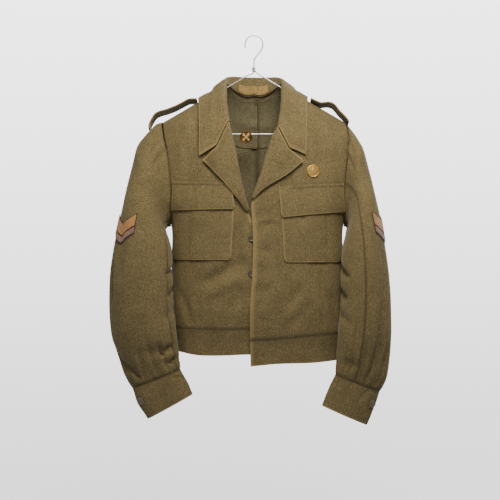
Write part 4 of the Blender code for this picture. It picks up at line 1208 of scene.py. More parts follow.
def wool_look(name, dark, middle, light, worn=0.55):
    """Heathered wool: fibres of three shades, a slow mottle, worn rims and painted seam shade."""
    made, shader, add, link = node_maker(name)
    where = add("ShaderNodeTexCoord").outputs["Object"]
    fibres = add("ShaderNodeTexNoise", Scale=900.0, Detail=3.0, Roughness=0.7)
    heather = add("ShaderNodeTexNoise", Scale=400.0, Detail=3.0, Roughness=0.65)
    mottle = add("ShaderNodeTexNoise", Scale=26.0, Detail=4.0, Roughness=0.6)
    for node in (fibres, heather, mottle):
        link(where, node.inputs["Vector"])
    grain = add("ShaderNodeMath", operation="MULTIPLY_ADD")
    link(fibres.outputs["Fac"], grain.inputs[0])
    grain.inputs[1].default_value = 0.45
    share = add("ShaderNodeMath", operation="MULTIPLY")
    link(heather.outputs["Fac"], share.inputs[0])
    share.inputs[1].default_value = 0.55
    link(share.outputs[0], grain.inputs[2])
    ramp = add("ShaderNodeValToRGB")
    ramp.color_ramp.elements[0].position = 0.34
    ramp.color_ramp.elements[0].color = dark
    ramp.color_ramp.elements[1].position = 0.66
    ramp.color_ramp.elements[1].color = light
    ramp.color_ramp.elements.new(0.50).color = middle
    link(grain.outputs[0], ramp.inputs["Fac"])
    slow = add("ShaderNodeMapRange")
    link(mottle.outputs["Fac"], slow.inputs["Value"])
    slow.inputs["From Min"].default_value = 0.3
    slow.inputs["From Max"].default_value = 0.7
    slow.inputs["To Min"].default_value = 0.89
    slow.inputs["To Max"].default_value = 1.10
    colour = add("ShaderNodeVectorMath", operation="SCALE")
    link(ramp.outputs["Color"], colour.inputs[0])
    link(slow.outputs["Result"], colour.inputs["Scale"])
    rim = add("ShaderNodeAttribute", attribute_name="wear")
    rim_share = add("ShaderNodeMath", operation="MULTIPLY")
    link(rim.outputs["Fac"], rim_share.inputs[0])
    rim_share.inputs[1].default_value = worn
    rimmed = blend_colours(add, link, "MIX", rim_share.outputs[0], colour.outputs[0], WORN)
    # Painted shade: the cloth is darkened towards its seams
    seam = add("ShaderNodeAttribute", attribute_name="seam")
    seam_shade_share = add("ShaderNodeMath", operation="MULTIPLY")
    link(seam.outputs["Fac"], seam_shade_share.inputs[0])
    seam_shade_share.inputs[1].default_value = 0.55
    final = blend_colours(add, link, "MIX", seam_shade_share.outputs[0], rimmed, PAINTED_SEAM_SHADE)
    link(final, shader.inputs["Base Color"])
    shader.inputs["Roughness"].default_value = 0.92
    shader.inputs["Specular IOR Level"].default_value = 0.18
    shader.inputs["Sheen Weight"].default_value = 0.22
    shader.inputs["Sheen Roughness"].default_value = 0.45
    shader.inputs["Sheen Tint"].default_value = (0.95, 0.86, 0.62, 1.0)
    rise = add("ShaderNodeBump", Strength=0.55, Distance=0.0009)
    link(grain.outputs[0], rise.inputs["Height"])
    link(rise.outputs["Normal"], shader.inputs["Normal"])
    return made


def thread_look(name, colour, ribs, sheen=0.1):
    """Cloth of close parallel threads, such as tape or satin stitch."""
    made, shader, add, link = node_maker(name)
    where = add("ShaderNodeTexCoord").outputs["Object"]
    bands = add("ShaderNodeTexWave", wave_type="BANDS", bands_direction="DIAGONAL")
    bands.inputs["Scale"].default_value = ribs
    bands.inputs["Distortion"].default_value = 1.2
    bands.inputs["Detail"].default_value = 2.0
    link(where, bands.inputs["Vector"])
    cloud = add("ShaderNodeTexNoise", Scale=180.0, Detail=4.0, Roughness=0.7)
    link(where, cloud.inputs["Vector"])
    level = add("ShaderNodeMapRange")
    link(cloud.outputs["Fac"], level.inputs["Value"])
    level.inputs["From Min"].default_value = 0.3
    level.inputs["From Max"].default_value = 0.7
    level.inputs["To Min"].default_value = 0.62
    level.inputs["To Max"].default_value = 1.3
    shade = add("ShaderNodeVectorMath", operation="SCALE")
    shade.inputs[0].default_value = colour[:3]
    link(level.outputs["Result"], shade.inputs["Scale"])
    final = blend_colours(add, link, "MULTIPLY", 0.35, shade.outputs[0], bands.outputs["Color"])
    link(final, shader.inputs["Base Color"])
    shader.inputs["Roughness"].default_value = 0.75
    shader.inputs["Sheen Weight"].default_value = sheen
    rise = add("ShaderNodeBump", Strength=0.5, Distance=0.0005)
    link(bands.outputs["Fac"], rise.inputs["Height"])
    link(rise.outputs["Normal"], shader.inputs["Normal"])
    return made


def hard_look(name, colour, metallic, rough, tarnish, scale=140.0):
    """Metal or plastic with a cloudy tarnish or dust."""
    made, shader, add, link = node_maker(name)
    where = add("ShaderNodeTexCoord").outputs["Object"]
    cloud = add("ShaderNodeTexNoise", Scale=scale, Detail=5.0, Roughness=0.65)
    link(where, cloud.inputs["Vector"])
    level = add("ShaderNodeMapRange")
    link(cloud.outputs["Fac"], level.inputs["Value"])
    level.inputs["From Min"].default_value = 0.38
    level.inputs["From Max"].default_value = 0.68
    final = blend_colours(add, link, "MIX", level.outputs["Result"], colour, tarnish)
    link(final, shader.inputs["Base Color"])
    wet = add("ShaderNodeMapRange")
    link(cloud.outputs["Fac"], wet.inputs["Value"])
    wet.inputs["To Min"].default_value = rough * 0.8
    wet.inputs["To Max"].default_value = min(rough * 1.5, 1.0)
    link(wet.outputs["Result"], shader.inputs["Roughness"])
    shader.inputs["Metallic"].default_value = metallic
    rise = add("ShaderNodeBump", Strength=0.15, Distance=0.0002)
    link(cloud.outputs["Fac"], rise.inputs["Height"])
    link(rise.outputs["Normal"], shader.inputs["Normal"])
    return made


WOOL_LOOK = wool_look("wool", WOOL_DARK, WOOL_MID, WOOL_LIGHT)
INNER_LOOK = wool_look("inner_wool", INNER_DARK, INNER_MID, INNER_LIGHT, 0.15)
TAPE_LOOK = thread_look("tape", TAPE_COLOUR, 900.0)
GOLD_LOOK = thread_look("gold_embroidery", GOLD_THREAD, 1100.0, 0.3)
PALE_LOOK = thread_look("pale_embroidery", PALE_THREAD, 1100.0, 0.3)
GROUND_LOOK = thread_look("badge_ground", BADGE_GROUND, 1300.0)
SEWING_LOOK = thread_look("sewing_thread", SEWING_THREAD, 2500.0)
BUTTON_LOOK = hard_look("button", (0.050, 0.034, 0.012, 1.0), 0.0, 0.42, (0.115, 0.085, 0.040, 1.0))
BRASS_LOOK = hard_look("brass", (0.78, 0.47, 0.10, 1.0), 1.0, 0.34, (0.42, 0.22, 0.045, 1.0))
# Dark brass of the crossed disc, also used as the painted shade in the buttons' holes
DARK_BRASS_AND_HOLE_SHADE_LOOK = hard_look("dark_brass_and_hole_shade", (0.15, 0.075, 0.020, 1.0), 1.0, 0.45, (0.045, 0.020, 0.007, 1.0))
PALE_BRASS_LOOK = hard_look("pale_brass", (0.86, 0.62, 0.26, 1.0), 1.0, 0.30, (0.55, 0.33, 0.10, 1.0))
WIRE_LOOK = hard_look("wire", (0.72, 0.71, 0.68, 1.0), 1.0, 0.28, (0.45, 0.42, 0.36, 1.0), 300.0)


def front_edge(side):
    inset = copysign(ROLL_INSET, ARMHOLE[side][0][1])
    foot = LAPEL[side]["foot"]

    def edge(z):
        return along(FRONT_EDGE[side], z, 1) + inset * ease((z - foot) / ROLL_RAMP[side] + 1)

    return edge


def back_edge(side):
    seam = CENTRE_BACK + copysign(SEAM / 2, ARMHOLE[side][0][1])
    return lambda z: seam


def panel_lines(side, face, edge):
    """Angle and height of each point of a body panel, from the shoulder to the waist."""
    lines = []
    for degrees_round in FINE_TURNS:
        turn = radians(degrees_round)
        fall = (1 - cos(turn)) / 2
        x_out, z_out = armhole(side, turn)
        z_in = PIT_Z
        for _ in range(6):
            z_in = mix(seam_height(edge(z_in), face), PIT_Z, fall)
        start = angle_at(edge(z_in), z_in)
        end = angle_at(x_out, z_out)
        slack = z_out - mix(seam_height(x_out, face), PIT_Z, fall)
        line = []
        for k in range(FINE_COLUMNS + 1):
            u = k / FINE_COLUMNS
            angle = mix(start, end, u)
            z = mix(z_in, z_out, u)
            for _ in range(4):
                z = mix(seam_height(body(angle, z, face).x, face), PIT_Z, fall) + slack * u ** 4
            line.append((angle, z))
        lines.append(line)
    side_angle = copysign(pi / 2, ARMHOLE[side][0][1])
    for j in range(1, FINE_SIDE_ROWS + 1):
        v = j / FINE_SIDE_ROWS
        line = []
        for k in range(FINE_COLUMNS + 1):
            z = mix(PIT_Z, WAIST_MIDDLE, v)
            angle = mix(angle_at(edge(z), z), side_angle, k / FINE_COLUMNS)
            waist = along(WAIST[face], body(angle, z, face).x, 1) + SEAM / 2
            line.append((angle, mix(PIT_Z, waist, v)))
        lines.append(line)
    return lines


def panel(side, face):
    edge = back_edge(side) if face == "back" else front_edge(side)
    lines = panel_lines(side, face, edge)
    rows = [[surf(angle, z, face) for angle, z in line] for line in lines]
    return facing_out(rows, side == ("left" if face == "back" else "right"))


def make_body():
    made = {}
    for side in ("right", "left"):
        rows = panel(side, side)
        free = "s" if side == "left" else "e"
        rim = FRONT_RIM if side == "left" else WORN_RIM
        looks = (WOOL_LOOK, INNER_LOOK)
        made[f"front_{side}"] = cloth(f"front_{side}", rows, looks, WOOL, free, rim_width=rim)
        rows = panel(side, "back")
        made[f"back_{side}"] = cloth(f"back_{side}", rows, (WOOL_LOOK, INNER_LOOK), WOOL)
    for x0, x1, top, bottom in ((0.0455, 0.0478, -0.335, -0.630), (0.0480, 0.0503, -0.345, -0.630)):
        points = []
        normals = []
        for n in range(80):
            t = n / 79
            x = mix(x0, x1, t)
            z = mix(top, bottom, t)
            points.append(on_body(x, z, "left", 0.0))
            normals.append(body_normal(angle_at(x, z), z, "left"))
        sew(points, normals)
    return made


def waist_rows(face):
    side_angle = radians({"right": -90, "left": 90, "back": 90}[face])
    columns = 110 if face == "back" else 54
    rows_down = 14
    rows = []
    for j in range(rows_down + 1):
        row = []
        for k in range(columns + 1):
            z = mix(WAIST_MIDDLE, HEM_MIDDLE, j / rows_down)
            start = -side_angle if face == "back" else angle_at(along(FRONT_EDGE[face], z, 1), z)
            angle = mix(start, side_angle, k / columns)
            x = body(angle, z, face).x
            seam = along(WAIST[face], x, 1) - SEAM / 2
            z = mix(seam, along(WAIST[face], x, 2), j / rows_down)
            wave = 0.0010 * noise.noise((x * 30, z * 22, 4.0)) + 0.0007 * noise.noise((x * 75, z * 40, 9.0))
            wave *= ease(j / rows_down / 0.25) * ease(cos(angle) / 0.3)
            row.append(body(angle, z, face) + body_normal(angle, z, face) * wave)
        rows.append(row)
    return facing_out(rows, face != "left")


def make_waistband():
    made = {}
    for face in ("right", "left", "back"):
        rows = waist_rows(face)
        free = {"right": "be", "left": "bs", "back": "b"}[face]
        made[f"waistband_{face}"] = cloth(f"waistband_{face}", rows, (WOOL_LOOK, INNER_LOOK), WOOL, free)
        topstitch(rows, "b")
        topstitch(rows, "t", 0.0030)
        topstitch(rows, "t", 0.0075)
    return made


def yoke_grid(side):
    """The inner half-yoke: the back's own points, moved in."""
    lines = panel_lines(side, "back", back_edge(side))
    lines = facing_out(lines, side == "left")
    rows = []
    for turn, line in zip(FINE_TURNS, lines):
        if turn < 18 or turn > 78:
            continue
        row = []
        for angle, z in line:
            x = body(angle, z, "back").x
            near_neck = ease((0.080 - abs(x)) / 0.040) * ease((40 - turn) / 22)
            gap = WOOL + mix(0.0007, 0.0030, near_neck)
            lower = mix(0.0, 0.010, ease((abs(x) - 0.035) / 0.035)) * ease((50 - turn) / 32)
            p = surf(angle, z - lower, "back", -gap)
            row.append(p)
        kept = round(FINE_COLUMNS * 0.89)
        rows.append(row[-kept:] if side == "left" else row[:kept])
    return rows


def make_yoke():
    made = {}
    for side in ("right", "left"):
        rows = yoke_grid(side)
        for row in rows:
            middle = row[-1] if side == "left" else row[0]
            middle.x = CENTRE_BACK + copysign(YOKE_MIDDLE_GAP, ARMHOLE[side][0][1])
        made[f"yoke_{side}"] = cloth(f"yoke_{side}", rows, (INNER_LOOK, INNER_LOOK), TRIM, "b")
        inside = [[p - n * (TRIM + 0.0002) for p, n in zip(*pair)] for pair in zip(rows, grid_normals(rows))]
        points = list(inside[-2])
        sew(points, [Vector((0, -1, 0))] * len(points))
    return made


def make_seam_allowance():
    """The pressed-open turning of the centre back seam, which shows through the neck."""
    rows = []
    for n in range(25):
        z = mix(-0.133, -0.232, n / 24)
        row = []
        for k in range(6):
            x = CENTRE_BACK - 0.0005 - 0.0135 * k / 5
            row.append(surf(angle_at(x, z), z, "back", -(WOOL + TRIM + 0.0013)))
        rows.append(row)
    made = cloth("seam_allowance", rows, (INNER_LOOK, INNER_LOOK), 0.0011, "se", node="yoke_right")
    for share in (0.2, 0.75):
        points = [row[0].lerp(row[-1], share) - Vector((0, 0.0014, 0)) for row in rows]
        sew(points, [Vector((0, -1, 0))] * len(points))
    return made


def collar_section(place):
    """One section of the collar's concave side: up the stand, over the fold, down the leaf."""
    section = []
    for t in (0, 0.15, 0.3, 0.45, 0.6, 0.75, 0.88):
        p = collar_stand(place, t)
        gather = ease(1 - abs(abs(place - COLLAR_END / 2) - 2.3) / 0.9)
        p += Vector((p.x, p.y, 0)).normalized() * 0.0007 * gather * sin(place * 26) * sin(pi * t)
        section.append(p)
    low = collar_stand(place, 0.96)
    fold = collar_fold(place)
    high = collar_leaf(place, 0.05)
    for s in (0, 0.25, 0.5, 0.75, 1):
        section.append(low * (1 - s) ** 2 + fold * 2 * s * (1 - s) + high * s * s)
    for t in (0.1, 0.16, 0.23, 0.31, 0.39, 0.47, 0.55, 0.63, 0.71, 0.79, 0.87, 0.94, 1.0):
        section.append(collar_leaf(place, t))
    return section


def make_collar():
    count = 76
    rows = [collar_section(COLLAR_END * n / count) for n in range(count + 1)]
    normals = grid_normals(rows)
    leaf_start = 12
    for n, row in enumerate(rows):
        place = COLLAR_END * n / count
        for k in range(leaf_start, len(row)):
            share = (k - leaf_start) / (len(row) - 1 - leaf_start)
            lift = line_lift(COLLAR_CHART, place * COLLAR_STEP, share * LEAF_STEP)
            lift += 0.0006 * noise.noise((place * 1.3, share * 3.0, 2.0))
            row[k] += normals[n][k] * max(lift, -0.0016) * ease(min(place, COLLAR_END - place) / 0.5)
    made = cloth("collar", rows, (WOOL_LOOK, WOOL_LOOK), COLLAR_CLOTH, "tbe", outward=True)
    leaf = [row[leaf_start:] for row in rows]
    topstitch(leaf, "tbe", EDGE_STITCH, COLLAR_CLOTH)
    return made


def make_neck_tape():
    rows = []
    for n in range(25):
        place = mix(4.75, 7.15, n / 24)
        row = []
        for t in (0.10, 0.22, 0.34, 0.45, 0.56):
            p = collar_stand(place, t)
            inward = Vector((-p.x, -p.y, 0)).normalized()
            row.append(p + inward * (COLLAR_CLOTH + 2 * SEAM))
        rows.append(row)
    made = cloth("neck_tape", rows, (TAPE_LOOK, TAPE_LOOK), TRIM, "tbse", outward=True)
    topstitch(rows, "tbse", 0.0022, TRIM)
    return made


def lapel_stations(length):
    """Shares of the way to the outer edge and heights: round the roll, then flat."""
    size = min(1.0, 0.55 + length / 0.045)
    stations = []
    keyed = [(n, d, h) for n, (d, h) in enumerate(ROLL)]
    for n in range(17):
        place = n / 4
        out = along(keyed, place, 1) * size * min(1.0, length / 0.014)
        stations.append((out / length, along(keyed, place, 2) * size))
    first = stations[-1][0]
    for n in range(1, 17):
        t = mix(first, 1.0, n / 16)
        stations.append((t, mix(LAPEL_HEIGHT, LAPEL_EDGE_HEIGHT, t) * size + 0.0012 * sin(pi * t) * size))
    return stations


def lapel_row(side, w):
    lapel = LAPEL[side]
    z = mix(lapel["foot"], lapel["top"], w)
    roll_x = along(FRONT_EDGE[side], z, 1)
    count = len(lapel["edge"])
    keyed = [(n / (count - 1), x, height) for n, (x, height) in enumerate(lapel["edge"])]
    out_x = along(keyed, w, 1)
    out_z = along(keyed, w, 2)
    row = []
    for t, height in lapel_stations(hypot(out_x - roll_x, out_z - z)):
        x = mix(roll_x, out_x, t)
        sag = bend(max(t, 0.0), NOTCH[side]) * w ** 3
        row.append(on_body(x, mix(z, out_z, t) - sag, side, height))
    return row


def make_lapels():
    made = {}
    for side in ("right", "left"):
        rows = [lapel_row(side, n / 44) for n in range(44, -1, -1)]
        rows = facing_out(rows, side == "right")
        free = "ts" if side == "right" else "te"
        made[f"lapel_{side}"] = cloth(f"lapel_{side}", rows, (WOOL_LOOK, WOOL_LOOK), WOOL, free)
        topstitch(rows, free, 0.0046)
    return made


def corner(distance, radius):
    """How far a rounded corner draws back an edge at a distance from the corner."""
    if distance >= radius:
        return 0.0
    return radius - sqrt(radius ** 2 - (radius - distance) ** 2)


def pocket_marks():
    marks = []
    for n in range(12):
        marks.append(("inner", 0.97 * n / 11, 0.0))
    for share in (0.03, 0.14, 0.28, 0.42, 0.58, 0.72, 0.86, 0.97):
        marks.append(("pleat", share, PLEAT_RISE))
    for n in range(12):
        marks.append(("outer", 0.03 + 0.97 * n / 11, 0.0))
    return marks


def make_pockets():
    made = {}
    rows_down = 34
    for side in ("right", "left"):
        pocket = POCKET[side]
        rows = []
        for j in range(rows_down + 1):
            v = j / rows_down
            z = mix(pocket["top"][0], pocket["bottom"][0], v)
            inner = mix(pocket["top"][1], pocket["bottom"][1], v)
            outer = mix(pocket["top"][2], pocket["bottom"][2], v)
            near = mix(pocket["pleat"][0][0], pocket["pleat"][1][0], v)
            far = mix(pocket["pleat"][0][1], pocket["pleat"][1][1], v)
            spans = {"inner": (inner, near), "pleat": (near, far), "outer": (far, outer)}
            row = []
            for span, share, rise in pocket_marks():
                start, end = [angle_at(x, z) for x in spans[span]]
                angle = mix(start, end, share)
                x = body(angle, z, side).x
                up = corner(min(abs(x - inner), abs(x - outer)), POCKET_ROUND) * v ** 6
                puff = 0.0014 * sin(pi * share) if span != "pleat" else 0.0
                row.append(surf(angle, z + up, side, LAID + rise + puff * sin(pi * v)))
            rows.append(row)
        rows = facing_out(rows, side == "right")
        name = f"pocket_{side}"
        made[name] = cloth(name, rows, (WOOL_LOOK, INNER_LOOK), WOOL, "bse", outward=True)
        topstitch(rows, "bse", 0.0034, WOOL)
    return made


def make_flaps():
    made = {}
    shares = [0, 0.02, 0.045, 0.07, 0.095, 0.12, 0.14, 0.17, 0.21] + [0.26 + 0.74 * n / 16 for n in range(17)]
    columns = 46
    for side in ("right", "left"):
        inner_top, outer_top, inner_low, outer_low = FLAP[side]
        rows = []
        for share in shares:
            row = []
            height = along(FLAP_ROWS, share, 1)
            for k in range(columns + 1):
                u = k / columns
                x = mix(mix(inner_top[0], inner_low[0], share), mix(outer_top[0], outer_low[0], share), u)
                z = mix(mix(inner_top[1], inner_low[1], share), mix(outer_top[1], outer_low[1], share), u)
                width = abs(outer_low[0] - inner_low[0])
                z += corner(u * width, FLAP_ROUND) * share ** 6
                ripple = 0.0008 * noise.noise((x * 40, share * 2.0, 7.0)) * ease((share - 0.3) / 0.5)
                row.append(on_body(x, z, side, height + ripple))
            rows.append(row)
        rows = facing_out(rows, side == "right")
        name = f"flap_{side}"
        made[name] = cloth(name, rows, (WOOL_LOOK, INNER_LOOK), WOOL, "bse", outward=True)
        topstitch(rows, "bse", 0.0046, WOOL)
    return made


def creased_sleeve(side, place, turn):
    degrees_round = (turn * 180 / pi + 102) % 360 - 102
    p = sleeve(side, place, turn)
    keep = ease(place / 0.5) * ease((SLEEVE_END - place) / 0.25)
    lift = line_lift(SLEEVE_CHART[side], degrees_round * 0.001, place * PLACE_STEP)
    lift += swell(degrees_round * 0.001, place * PLACE_STEP, 20.0 + len(side))
    gather = 0.0011 * sin(turn * 17 + 1.3 * sin(turn * 3)) * ease((place - 13.2) / 1.5)
    return p + sleeve_normal(side, place, turn) * (lift + gather) * keep


def make_sleeves():
    made = {}
    places = [0, 0.25] + [0.25 + 14.5 * n / 76 for n in range(1, 77)] + [15]
    for side in ("right", "left"):
        front = FRONT_SEAM[side]
        for name, first, last in (("top_sleeve", BACK_SEAM - 360, front), ("under_sleeve", front, BACK_SEAM)):
            count = round((last - first) / 4.5)
            turns = [mix(first, last, n / count) for n in range(count + 1)]
            rows = []
            for place in places:
                row = [creased_sleeve(side, place, radians(turn)) for turn in turns]
                row[0] += seam_inset(side, place, turns[0], row[1] - row[0])
                row[-1] += seam_inset(side, place, turns[-1], row[-2] - row[-1])
                rows.append(row)
            rows = facing_out(rows, side == "left")
            made[f"{name}_{side}"] = cloth(f"{name}_{side}", rows, (WOOL_LOOK, INNER_LOOK), WOOL)
    return made


def creased_cuff(side, place, turn):
    degrees_round = (turn * 180 / pi + 102) % 360 - 102
    p = cuff(side, place, turn)
    centre = ring_centre(CUFF[side], place)[0]
    lift = line_lift(CUFF_CHART[side], degrees_round * 0.001, place * CUFF_STEP)
    lift += 0.0007 * noise.noise((degrees_round * 0.03, place * 1.5, 30.0 + len(side)))
    return p + (p - centre).normalized() * lift * ease(place / 0.25)


def make_cuffs():
    made = {}
    for side in ("right", "left"):
        rows = []
        for n in range(19):
            rows.append([creased_cuff(side, CUFF_END * n / 18, radians(5 * k)) for k in range(72)])
        rows = facing_out(rows, side == "left")
        made[f"cuff_{side}"] = cloth(f"cuff_{side}", rows, (WOOL_LOOK, INNER_LOOK), WOOL, "b", ring=True)
        topstitch(rows, "b", EDGE_STITCH, ring=True)
        topstitch(rows, "t", 0.0032, ring=True)
    return made


def make_straps():
    made = {}
    for side in ("right", "left"):
        rows = []
        for n in range(46):
            place = STRAP_END * n / 45
            x = along(STRAP[side], place, 1)
            z = along(STRAP[side], place, 2)
            row = []
            for k in range(15):
                across = 2 * k / 14 - 1
                lift = 0.0005 * noise.noise((place * 0.9, across * 1.6, 5.0))
                row.append(Vector((x, across * STRAP_HALF, z - across * STRAP_TILT + lift)))
            rows.append(row)
        rows = facing_out(rows, side == "left")
        name = f"strap_{side}"
        made[name] = cloth(name, rows, (WOOL_LOOK, WOOL_LOOK), STRAP_CLOTH, "bse")
        topstitch(rows, "bse", 0.0050)
    return made


def chevron_grid(side, top, bottom, trim, lift):
    """Part of a chevron between two shares of its height, laid on the creased sleeve."""
    tip_angle, half_arc, notch, tip, rise = CHEVRON[side]
    rows = []
    for j in range(9):
        share = mix(top, bottom, j / 8)
        row = []
        for k in range(31):
            across = (2 * k / 30 - 1) * trim
            turn = radians(tip_angle + across * half_arc)
            z = mix(notch, tip, share) + rise * abs(across)
            place = sleeve_at(side, turn, z)
            row.append(creased_sleeve(side, place, turn) + sleeve_normal(side, place, turn) * lift)
        rows.append(row)
    return facing_out(rows, side == "left")


def make_chevrons():
    made = {}
    bands = (
        ("ground", 0.0, 1.0, 1.0, LAID, 0.0008, GROUND_LOOK),
        ("upper_band", 0.06, 0.56, 0.95, LAID + 0.0008, 0.0012, GOLD_LOOK),
        ("lower_band", 0.68, 0.91, 0.95, LAID + 0.0008, 0.0010, PALE_LOOK),
    )
    for side in ("right", "left"):
        for label, top, bottom, trim, lift, thickness, look in bands:
            rows = chevron_grid(side, top, bottom, trim, lift)
            name = f"chevron_{side}_{label}"
            made[name] = cloth(name, rows, (look, look), thickness, outward=True, node=f"chevron_{side}")
    return made


def turned(name, profile, look, steps=40):
    """A turned piece from a profile of radius and height, top to bottom."""
    mesh = bpy.data.meshes.new(name)
    edges = [(n, n + 1) for n in range(len(profile) - 1)]
    mesh.from_pydata([(radius, 0, height) for radius, height in profile], edges, [])
    mesh.materials.append(look)
    made = bpy.data.objects.new(name, mesh)
    bpy.context.scene.collection.objects.link(made)
    screw = made.modifiers.new("turn", "SCREW")
    screw.steps = steps
    screw.render_steps = steps
    screw.use_merge_vertices = True
    screw.merge_threshold = 0.00002
    screw.use_smooth_shade = False
    return made


def set_on(made, point, normal):
    made.matrix_world = Matrix.Translation(point) @ normal.to_track_quat("Z", "Y").to_matrix().to_4x4()


def set_in(made, carrier, offset, turn=0.0):
    """Puts a small piece at an offset and turn in the frame of the piece that carries it."""
    made.matrix_world = carrier.matrix_world @ Matrix.Translation(offset) @ Matrix.Rotation(turn, 4, "Z")
    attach(made, "root")


def figure(name, outline, height, look):
    """A flat raised figure with a bevelled rim."""
    curve = bpy.data.curves.new(name, "CURVE")
    curve.dimensions = "2D"
    curve.fill_mode = "BOTH"
    curve.extrude = height / 2
    curve.bevel_depth = 0.00022
    curve.bevel_resolution = 2
    spline = curve.splines.new("POLY")
    spline.points.add(len(outline) - 1)
    for point, (x, y) in zip(spline.points, outline):
        point.co = (x, y, 0, 1)
    spline.use_cyclic_u = True
    curve.materials.append(look)
    made = bpy.data.objects.new(name, curve)
    bpy.context.scene.collection.objects.link(made)
    return made


def button_profile():
    top = BUTTON_THICKNESS
    rim = BUTTON_RADIUS
    return (
        (0.0, top * 0.62),
        (rim * 0.52, top * 0.62),
        (rim * 0.66, top * 0.80),
        (rim * 0.78, top),
        (rim * 0.90, top),
        (rim * 0.98, top * 0.84),
        (rim, top * 0.6),
        (rim * 0.95, top * 0.25),
        (rim * 0.84, 0.0),
        (0.0, 0.0),
    )


def make_button(name, point, normal):
    """A dished button with four holes, shown as thin dark discs of painted shade, and a cross of thread."""
    made = turned(name, button_profile(), BUTTON_LOOK)
    set_on(made, point, normal)
    hole = 0.0009
    spread = 0.0017
    floor = BUTTON_THICKNESS * 0.62
    # The holes are not cut: a thin dark disc in each is painted shade for the hollow
    hole_shade_profile = ((0.0, 0.00012), (hole, 0.00012), (hole, 0.0), (0.0, 0.0))
    for n in range(4):
        turn = pi / 4 + n * pi / 2
        hole_shade_disc = turned(f"{name}_hole_{n}", hole_shade_profile, DARK_BRASS_AND_HOLE_SHADE_LOOK, 12)
        set_in(hole_shade_disc, made, Vector((spread * cos(turn), spread * sin(turn), floor)))
    for n in range(2):
        thread = bpy.data.curves.new(f"{name}_thread_{n}", "CURVE")
        thread.dimensions = "3D"
        thread.bevel_depth = 0.0004
        thread.materials.append(SEWING_LOOK)
        spline = thread.splines.new("POLY")
        spline.points.add(2)
        for spot, (reach, up) in zip(spline.points, ((-spread, 0.0), (0.0, 0.0004), (spread, 0.0))):
            spot.co = (reach, 0.0, up, 1)
        laid = bpy.data.objects.new(f"{name}_thread_{n}", thread)
        bpy.context.scene.collection.objects.link(laid)
        set_in(laid, made, Vector((0, 0, floor + 0.0002)), pi / 4 + n * pi / 2)
    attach(made, "root")
    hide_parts(name)


def make_buttons():
    for name, z in (("front_button_upper", -0.4250), ("front_button_lower", -0.4965)):
        normal = body_normal(angle_at(-0.0035, z), z, "right")
        make_button(name, on_body(-0.0035, z, "right", 2 * SEAM), normal)
    for side, place, degrees_round in (("right", 0.92, 36), ("left", 0.98, 36)):
        turn = radians(degrees_round)
        p = creased_cuff(side, place, turn)
        round_way = cuff(side, place, turn + 0.1) - cuff(side, place, turn - 0.1)
        down = cuff(side, place + 0.1, turn) - cuff(side, place - 0.1, turn)
        normal = round_way.cross(down).normalized()
        if normal.y > 0:
            normal = -normal
        make_button(f"cuff_button_{side}", p + normal * 0.0004, normal)


def disc_profile():
    rim = DISC_RADIUS
    return (
        (0.0, DISC_FIELD * 1.15),
        (rim * 0.40, DISC_FIELD * 1.10),
        (rim * 0.80, DISC_FIELD),
        (rim * 0.84, DISC_FIELD * 1.05),
        (rim * 0.88, DISC_RIM * 0.94),
        (rim * 0.92, DISC_RIM),
        (rim * 0.97, DISC_RIM * 0.93),
        (rim, DISC_RIM * 0.6),
        (rim * 0.98, 0.0),
        (0.0, 0.0),
    )


def make_discs():
    star = turned("star_disc", disc_profile(), BRASS_LOOK, 56)
    x = 0.1209
    z = -0.2876
    set_on(star, on_body(x, z, "left", SEAM), body_normal(angle_at(x, z), z, "left"))
    figure_place = Vector((0, 0, DISC_FIELD + 0.0004))
    raised = figure("star_figure", star_outline(DISC_RADIUS * 0.64), 0.0007, PALE_BRASS_LOOK)
    set_in(raised, star, figure_place)
    cross = turned("cross_disc", disc_profile(), DARK_BRASS_AND_HOLE_SHADE_LOOK, 56)
    set_on(cross, Vector((-0.0168, -WIRE - SEAM, -0.2125)), Vector((0, -1, 0)))
    for name, degrees_round in (("bar_figure_a", 45), ("bar_figure_b", -45)):
        bar = figure(name, bar_outline(DISC_RADIUS * 0.74, 0.0019, 0.0010), 0.0006, PALE_BRASS_LOOK)
        set_in(bar, cross, figure_place, radians(degrees_round))
    for disc in (star, cross):
        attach(disc, "root")
        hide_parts(disc.name.split(".")[0])


def make_hanger():
    curve = bpy.data.curves.new("hanger_wire", "CURVE")
    curve.dimensions = "3D"
    curve.bevel_depth = WIRE
    curve.bevel_resolution = 5
    curve.use_fill_caps = True
    points = hanger_points()
    spline = curve.splines.new("POLY")
    spline.points.add(len(points) - 1)
    for point, place in zip(spline.points, points):
        point.co = (*place, 1)
    curve.materials.append(WIRE_LOOK)
    made = bpy.data.objects.new("hanger_wire", curve)
    bpy.context.scene.collection.objects.link(made)
    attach(made, "root")
    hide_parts("hanger")


